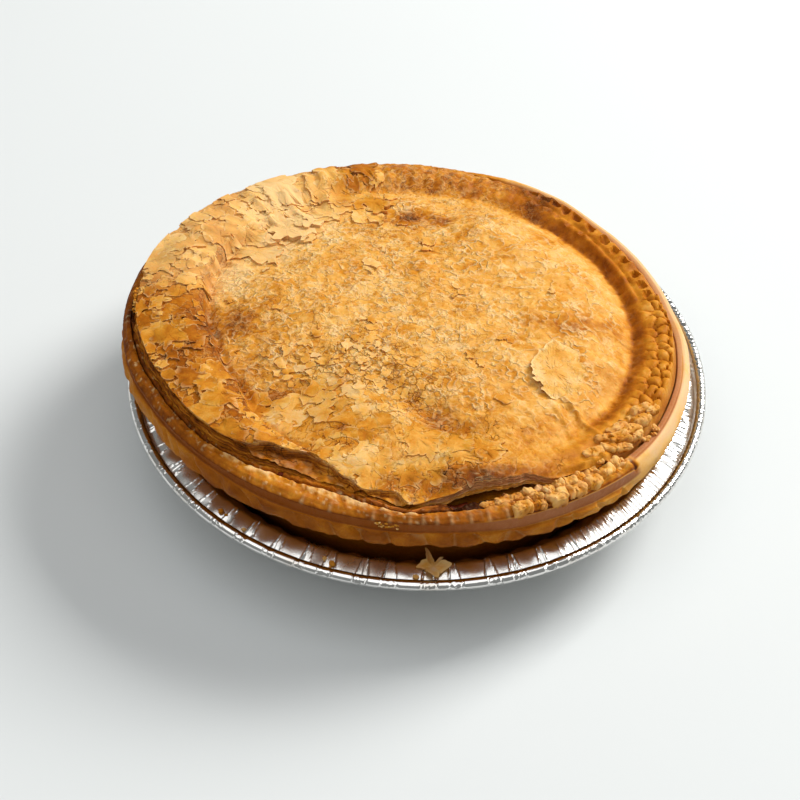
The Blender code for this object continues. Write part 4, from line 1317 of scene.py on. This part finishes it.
leaf_points = on_pie(x, y, height - under * (0.00030 + 0.0008 * (1 - share)))
# Painted light: the leaf's underside is darker, as painted shade, and the top of its curled free edge is
# paler, as a painted highlight.
leaf_marks = {
    "tone": 0.15 + 0.10 * rough_waves(flat, 0.006, 146) + 0.2 * under + 0.06 * (1 - free),
    "pale": 0.7 * smooth(share, 0.90, 1.0) * (1 - under) * free,
    "worm": 0.08 + 0.2 * (1 - free),
    "torn": 0.25 + 0 * x,
}
leaf_faces = skin([len(leaf_offset)] * (len(leaf_levels) - 2))
raised_leaf = piece("raised_lid_leaf", leaf_points, leaf_faces, plate_finish, leaf_marks, 50)
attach(raised_leaf, "root")


# Crumbled lumps: at the front right the pressed edge has broken up, and chunks of pastry the size of peas and
# beans are heaped along the crust's ledge and over the end of the rope, each still baked to what it sits on.
# Each row: degrees and radius in mm from the pie's middle, then width, depth and height in mm, then tone.
LUMPS = [
    (293.4, 108.3, 8.4, 5.2, 5.0, 0.30), (297.2, 108.8, 5.0, 4.6, 3.8, 0.34),
    (301.0, 108.5, 8.6, 5.6, 5.4, 0.30), (297.6, 105.0, 4.6, 5.0, 5.0, 0.27),
    (300.2, 104.6, 4.6, 5.0, 5.6, 0.25), (302.6, 104.4, 4.6, 5.0, 5.8, 0.28),
    (305.0, 104.6, 4.8, 5.2, 6.0, 0.27), (307.6, 104.4, 4.8, 5.0, 5.8, 0.30),
    (305.4, 108.4, 8.0, 5.6, 5.2, 0.32), (309.6, 108.0, 7.6, 5.8, 5.0, 0.30),
    (311.0, 103.2, 6.0, 6.0, 5.0, 0.30), (313.6, 107.2, 7.2, 5.8, 4.6, 0.26),
    (317.0, 105.8, 5.6, 5.0, 4.0, 0.30), (314.2, 99.8, 8.0, 5.0, 3.6, 0.33),
    (317.6, 101.0, 9.0, 4.6, 4.4, 0.35), (319.4, 97.6, 9.0, 4.4, 3.4, 0.36),
    (321.4, 101.2, 9.6, 4.6, 4.6, 0.32), (323.6, 97.4, 10.0, 4.4, 3.6, 0.36),
    (325.0, 101.4, 9.6, 4.6, 4.6, 0.34), (328.0, 98.0, 10.0, 4.2, 3.6, 0.34),
    (328.8, 102.0, 8.6, 4.6, 4.2, 0.36), (332.2, 100.2, 9.6, 4.4, 3.8, 0.34),
    (333.4, 103.4, 6.4, 4.0, 3.4, 0.36), (320.2, 104.2, 5.6, 3.6, 3.0, 0.36),
    (325.4, 104.4, 5.4, 3.4, 3.0, 0.36), (287.5, 103.4, 6.0, 3.4, 2.6, 0.46),
    (290.5, 102.8, 7.0, 3.8, 3.0, 0.44), (293.6, 102.4, 7.0, 4.0, 3.2, 0.42),
    (296.4, 102.6, 6.0, 4.4, 3.8, 0.36),
]
SMALL_LUMPS = 26
LUMP_RINGS = 22
LUMP_SIDES = 40


def ball(rings, sides):
    """Points of a round ball in rings, from its top to its underside."""
    side = np.arange(sides) * 2 * np.pi / sides
    tips = np.pi * np.arange(1, rings + 1) / (rings + 1)
    middle = [on_ring(np.sin(tip), side, np.cos(tip)) for tip in tips]
    return np.concatenate([[(0, 0, 1)], *middle, [(0, 0, -1)]])


def joined(bodies, sides, flipped=False):
    """The points and faces of closed bodies together, all with rings of the same number of sides."""
    faces = []
    first = 0
    for body in bodies:
        faces += skin([sides] * ((len(body) - 2) // sides), first, flipped)
        first += len(body)
    return np.concatenate(bodies), faces


lumps, lump_tones, lump_pale = [], [], []
draw = np.random.default_rng(151)
small = []
for _ in range(SMALL_LUMPS):
    degree = draw.uniform(296, 332)
    reach = 1000 * float(lid_edge(degree)) + draw.uniform(-1.2, 3.0)
    small.append((degree, reach, *draw.uniform(1.4, 2.8, 2), draw.uniform(1.2, 2.2), 0.32))
rounded = ball(LUMP_RINGS, LUMP_SIDES)
low = smooth(-rounded[:, 2], -0.3, 0.5)
for number, (degree, reach, width, depth, height, base_tone) in enumerate(LUMPS + small):
    on_lid = 0.001 * reach < float(lid_edge(degree)) - 0.0008
    skew = -26.0 if on_lid and degree > 312 else 0.0
    power, turned = draw.uniform(0.55, 0.80), np.radians(degree + skew + draw.uniform(-10, 10))
    block = np.sign(rounded) * np.abs(rounded) ** power * (0.5 * depth, 0.5 * width, 0.6 * height)
    craggy = rough_waves(block * (0.6, 1, 0.6) + 7.7 * number, 2.6, 152)
    wrinkle = 1 - smooth(np.abs(waves(block * (0.5, 1, 0.5) + 7.7 * number, 1.7, 157)), 0.0, 0.12)
    block = block * (1 + (1.0 * craggy - 0.45 * wrinkle) / (0.25 * (width + depth)))[:, None] * 0.001
    spot = 0.001 * reach * np.exp(1j * np.radians(degree))
    ground = 0.0006
    if on_lid:
        ground = float(lid_surface(np.array([spot.real]), np.array([spot.imag]))[0]) - 0.0010
    place = spot + (block[:, 0] + 1j * block[:, 1]) * np.exp(1j * turned)
    lumps.append(on_pie(place.real, place.imag, ground + 0.00012 * height + block[:, 2]))
    # Painted light: each lump is darker on its underside and in its wrinkles, as painted shade, and only its
    # upper side gets the pale tint.
    lump_tones.append(base_tone + 0.26 * low - 0.12 * craggy + 0.20 * wrinkle + draw.uniform(-0.03, 0.05))
    lump_pale.append(np.clip(0.13 + 0.30 * craggy, 0, 0.38) * (1 - low))
lump_marks = {"tone": np.concatenate(lump_tones), "pale": np.concatenate(lump_pale)}
crumbled_lumps = piece("crumbled_pastry_lumps", *joined(lumps, LUMP_SIDES), crust_finish, lump_marks, 60)
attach(crumbled_lumps, "root")


# Loose flake: one thin shard of the lid that has dropped on the tin's flange in front. It is a few baked
# leaves thick, curled by the heat, and ends in a pointed horn.
SHARD = [
    (0, 0.0066), (14, 0.0044), (30, 0.0036), (48, 0.0056), (58, 0.0050), (70, 0.0030), (92, 0.0036),
    (113, 0.0078), (122, 0.0050), (146, 0.0034), (166, 0.0048), (186, 0.0062), (200, 0.0046),
    (216, 0.0034), (240, 0.0044), (262, 0.0056), (288, 0.0060), (306, 0.0042), (335, 0.0044),
]
SHARD_POINTS = 120
SHARD_LEVELS = [(0, 0), (0.3, 0), (0.6, 0), (0.85, 0), (1.0, 0), (1.0, 1), (0.5, 1), (0, 1)]
SHARD_THICKNESS = 0.0003
flake_finish = baked_finish("loose_flake_pastry", 0.10, 0.00018, 0.50)
flake_low, flake_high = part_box("loose_flake")
flake_middle = complex(*((flake_low + flake_high) / 2).xy)
degrees = np.arange(SHARD_POINTS) * 360.0 / SHARD_POINTS
turn = np.radians(degrees)
outline = around(degrees, SHARD) + 0.0008 * rough_waves(on_ring(0.005, turn), 0.0026, 121)
place, share, under = sheet(flake_middle, outline * np.exp(1j * turn), SHARD_LEVELS)
bearing = np.concatenate([turn if share else [0.0] for share, _ in SHARD_LEVELS])
flat = xyz(place.real, place.imag)
curl = 0.0011 * share**2 * (1 + np.sin(3 * bearing + 0.6)) + 0.0004 * rough_waves(flat, 0.0035, 122)
shard_points = flat + xyz(0 * share, 0 * share, TIN_DEPTH + 0.0011 + curl - under * SHARD_THICKNESS)
orange = bell(np.degrees(bearing) - 200, 40) * share
shard_marks = {
    "tone": 0.12 + 0.30 * orange + 0.16 * rough_waves(flat, 0.004, 123),
    "pale": 0.40 * (share > 0.8),
}
shard_faces = skin([SHARD_POINTS] * (len(SHARD_LEVELS) - 2))
shard = piece("loose_shard", shard_points, shard_faces, flake_finish, shard_marks)
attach(shard, "root")
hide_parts("loose_flake")


# Crumbs: dry bits of the crust, on the flange in front, on the trimmed band and by the lid's left edge.
# Places are from the tin's middle, in metres: x, y, size.
FLANGE_CRUMBS = [
    (-0.0310, -0.1019, 0.0019), (-0.0283, -0.1042, 0.0026), (-0.0245, -0.1011, 0.0015),
    (0.0023, -0.1085, 0.0022), (-0.0709, -0.0814, 0.0024), (-0.0689, -0.0827, 0.0014),
    (-0.0616, -0.0897, 0.0018), (-0.0290, -0.1060, 0.0012), (0.0132, -0.1010, 0.0010),
]
CRUMB_RINGS = 6
CRUMB_SIDES = 12


def crumb(x, y, z, size, seed):
    """Points of one lumpy crumb, from its top to its underside."""
    squash = np.random.default_rng(seed).uniform(0.5, 0.75)
    points = ball(CRUMB_RINGS, CRUMB_SIDES) * (1, 1, squash)
    lumpy = 1 + 0.45 * rough_waves(points + 3.7 * seed, 0.9, 131, 2)
    return points * (0.5 * size * lumpy)[:, None] + (x, y, z + 0.3 * size)


def crumb_on_pie(degree, radius, rise, size, seed):
    """A crumb at an angle and radius about the pie's middle, at a height above the rim plane."""
    x, y = radius * np.cos(np.radians(degree)), radius * np.sin(np.radians(degree))
    return crumb(x + PIE_SHIFT[0], y + PIE_SHIFT[1], rim_plane(x, y) + rise, size, seed)


crumb_parts = []
for number, (x, y, size) in enumerate(FLANGE_CRUMBS):
    crumb_parts.append(crumb(x, y, TIN_DEPTH - 0.0010, size, number))
draw = np.random.default_rng(132)
for number in range(26):
    degree = draw.uniform(264.5, 269.5)
    rise, size = draw.uniform(-0.0032, -0.0008), draw.uniform(0.0005, 0.0013)
    crumb_parts.append(crumb_on_pie(degree, around(degree, RIM_KNOTS) - 0.0006, rise, size, 40 + number))
for number in range(34):
    degree = draw.uniform(176, 184)
    radius = lid_edge(degree) + draw.uniform(0.0, 0.0014)
    rise, size = draw.uniform(0.0015, 0.0060), draw.uniform(0.0006, 0.0017)
    crumb_parts.append(crumb_on_pie(degree, radius, rise, size, 90 + number))
crumb_tones = 0.38 - 0.25 * (np.arange(len(crumb_parts)) % 3 == 0)
crumb_marks = {"tone": np.repeat(crumb_tones, len(crumb_parts[0]))}
crumbs = piece("crumbs", *joined(crumb_parts, CRUMB_SIDES), flake_finish, crumb_marks, 60)
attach(crumbs, "root")


# Gravy: a little of the filling's red-brown sauce has boiled up in the gap under the lid's front arch and
# dried in thin runs along the joint.
GRAVY_ACROSS = 10
WET_GRAVY = ((0.045, 0.005, 0.001, 1), (0.20, 0.026, 0.004, 1))
DRY_GRAVY = ((0.40, 0.095, 0.010, 1), (0.62, 0.210, 0.035, 1))
# Each run: start and stop in degrees, distance outside the lid's edge, half width and thickness in metres,
# and 1 for the run that has dried to an orange-brown skin.
GRAVY = [
    (279.6, 284.0, 0.0002, 0.0016, 0.0010, 0), (262.0, 280.5, 0.0012, 0.0008, 0.0013, 1),
    (243.4, 245.4, 0.0016, 0.0012, 0.0010, 0), (216.0, 217.4, 0.0012, 0.0007, 0.0009, 0),
    (227.2, 228.4, 0.0012, 0.0007, 0.0009, 0), (232.4, 233.4, 0.0014, 0.0007, 0.0009, 0),
]
gravy_finish, sums = new_finish("gravy")
streak = sums.noise(0.003, detail=3)
surface(sums, {
    "Base Color": sums.mark("dried").mix(streak.mix(*WET_GRAVY), streak.mix(*DRY_GRAVY)),
    "Roughness": (0.32 + 0.30 * streak + 0.15 * sums.mark("dried")).held(),
    "Specular IOR Level": 0.12,
    "Normal": streak.bump(0.0002),
})
gravy_parts, gravy_dried = [], []
loop = np.arange(GRAVY_ACROSS) * 2 * np.pi / GRAVY_ACROSS
for start, stop, offset, half_width, thickness, dried in GRAVY:
    along = np.linspace(start, stop, max(10, int((stop - start) * 5)))
    taper = np.sin(np.pi * np.linspace(0, 1, len(along))) ** 0.4
    rings = []
    for degree, wide in zip(along, taper):
        turn = np.radians(degree)
        middle = lid_edge(degree) + offset + 0.0003 * np.sin(degree * 1.3)
        radius = middle + half_width * wide * np.cos(loop)
        seat = 0.0014 - 0.0030 * float(sector(degree, 281, 298, 3))
        height = seat + thickness * wide * (np.sin(loop) - 0.2)
        rings.append(on_pie(radius * np.cos(turn), radius * np.sin(turn), height))
    gravy_parts.append(np.concatenate([rings[0].mean(0)[None], *rings, rings[-1].mean(0)[None]]))
    gravy_dried.append(np.full(len(gravy_parts[-1]), dried))
gravy_marks = {"dried": np.concatenate(gravy_dried)}
gravy = piece("gravy_runs", *joined(gravy_parts, GRAVY_ACROSS, flipped=True), gravy_finish, gravy_marks)
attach(gravy, "root")
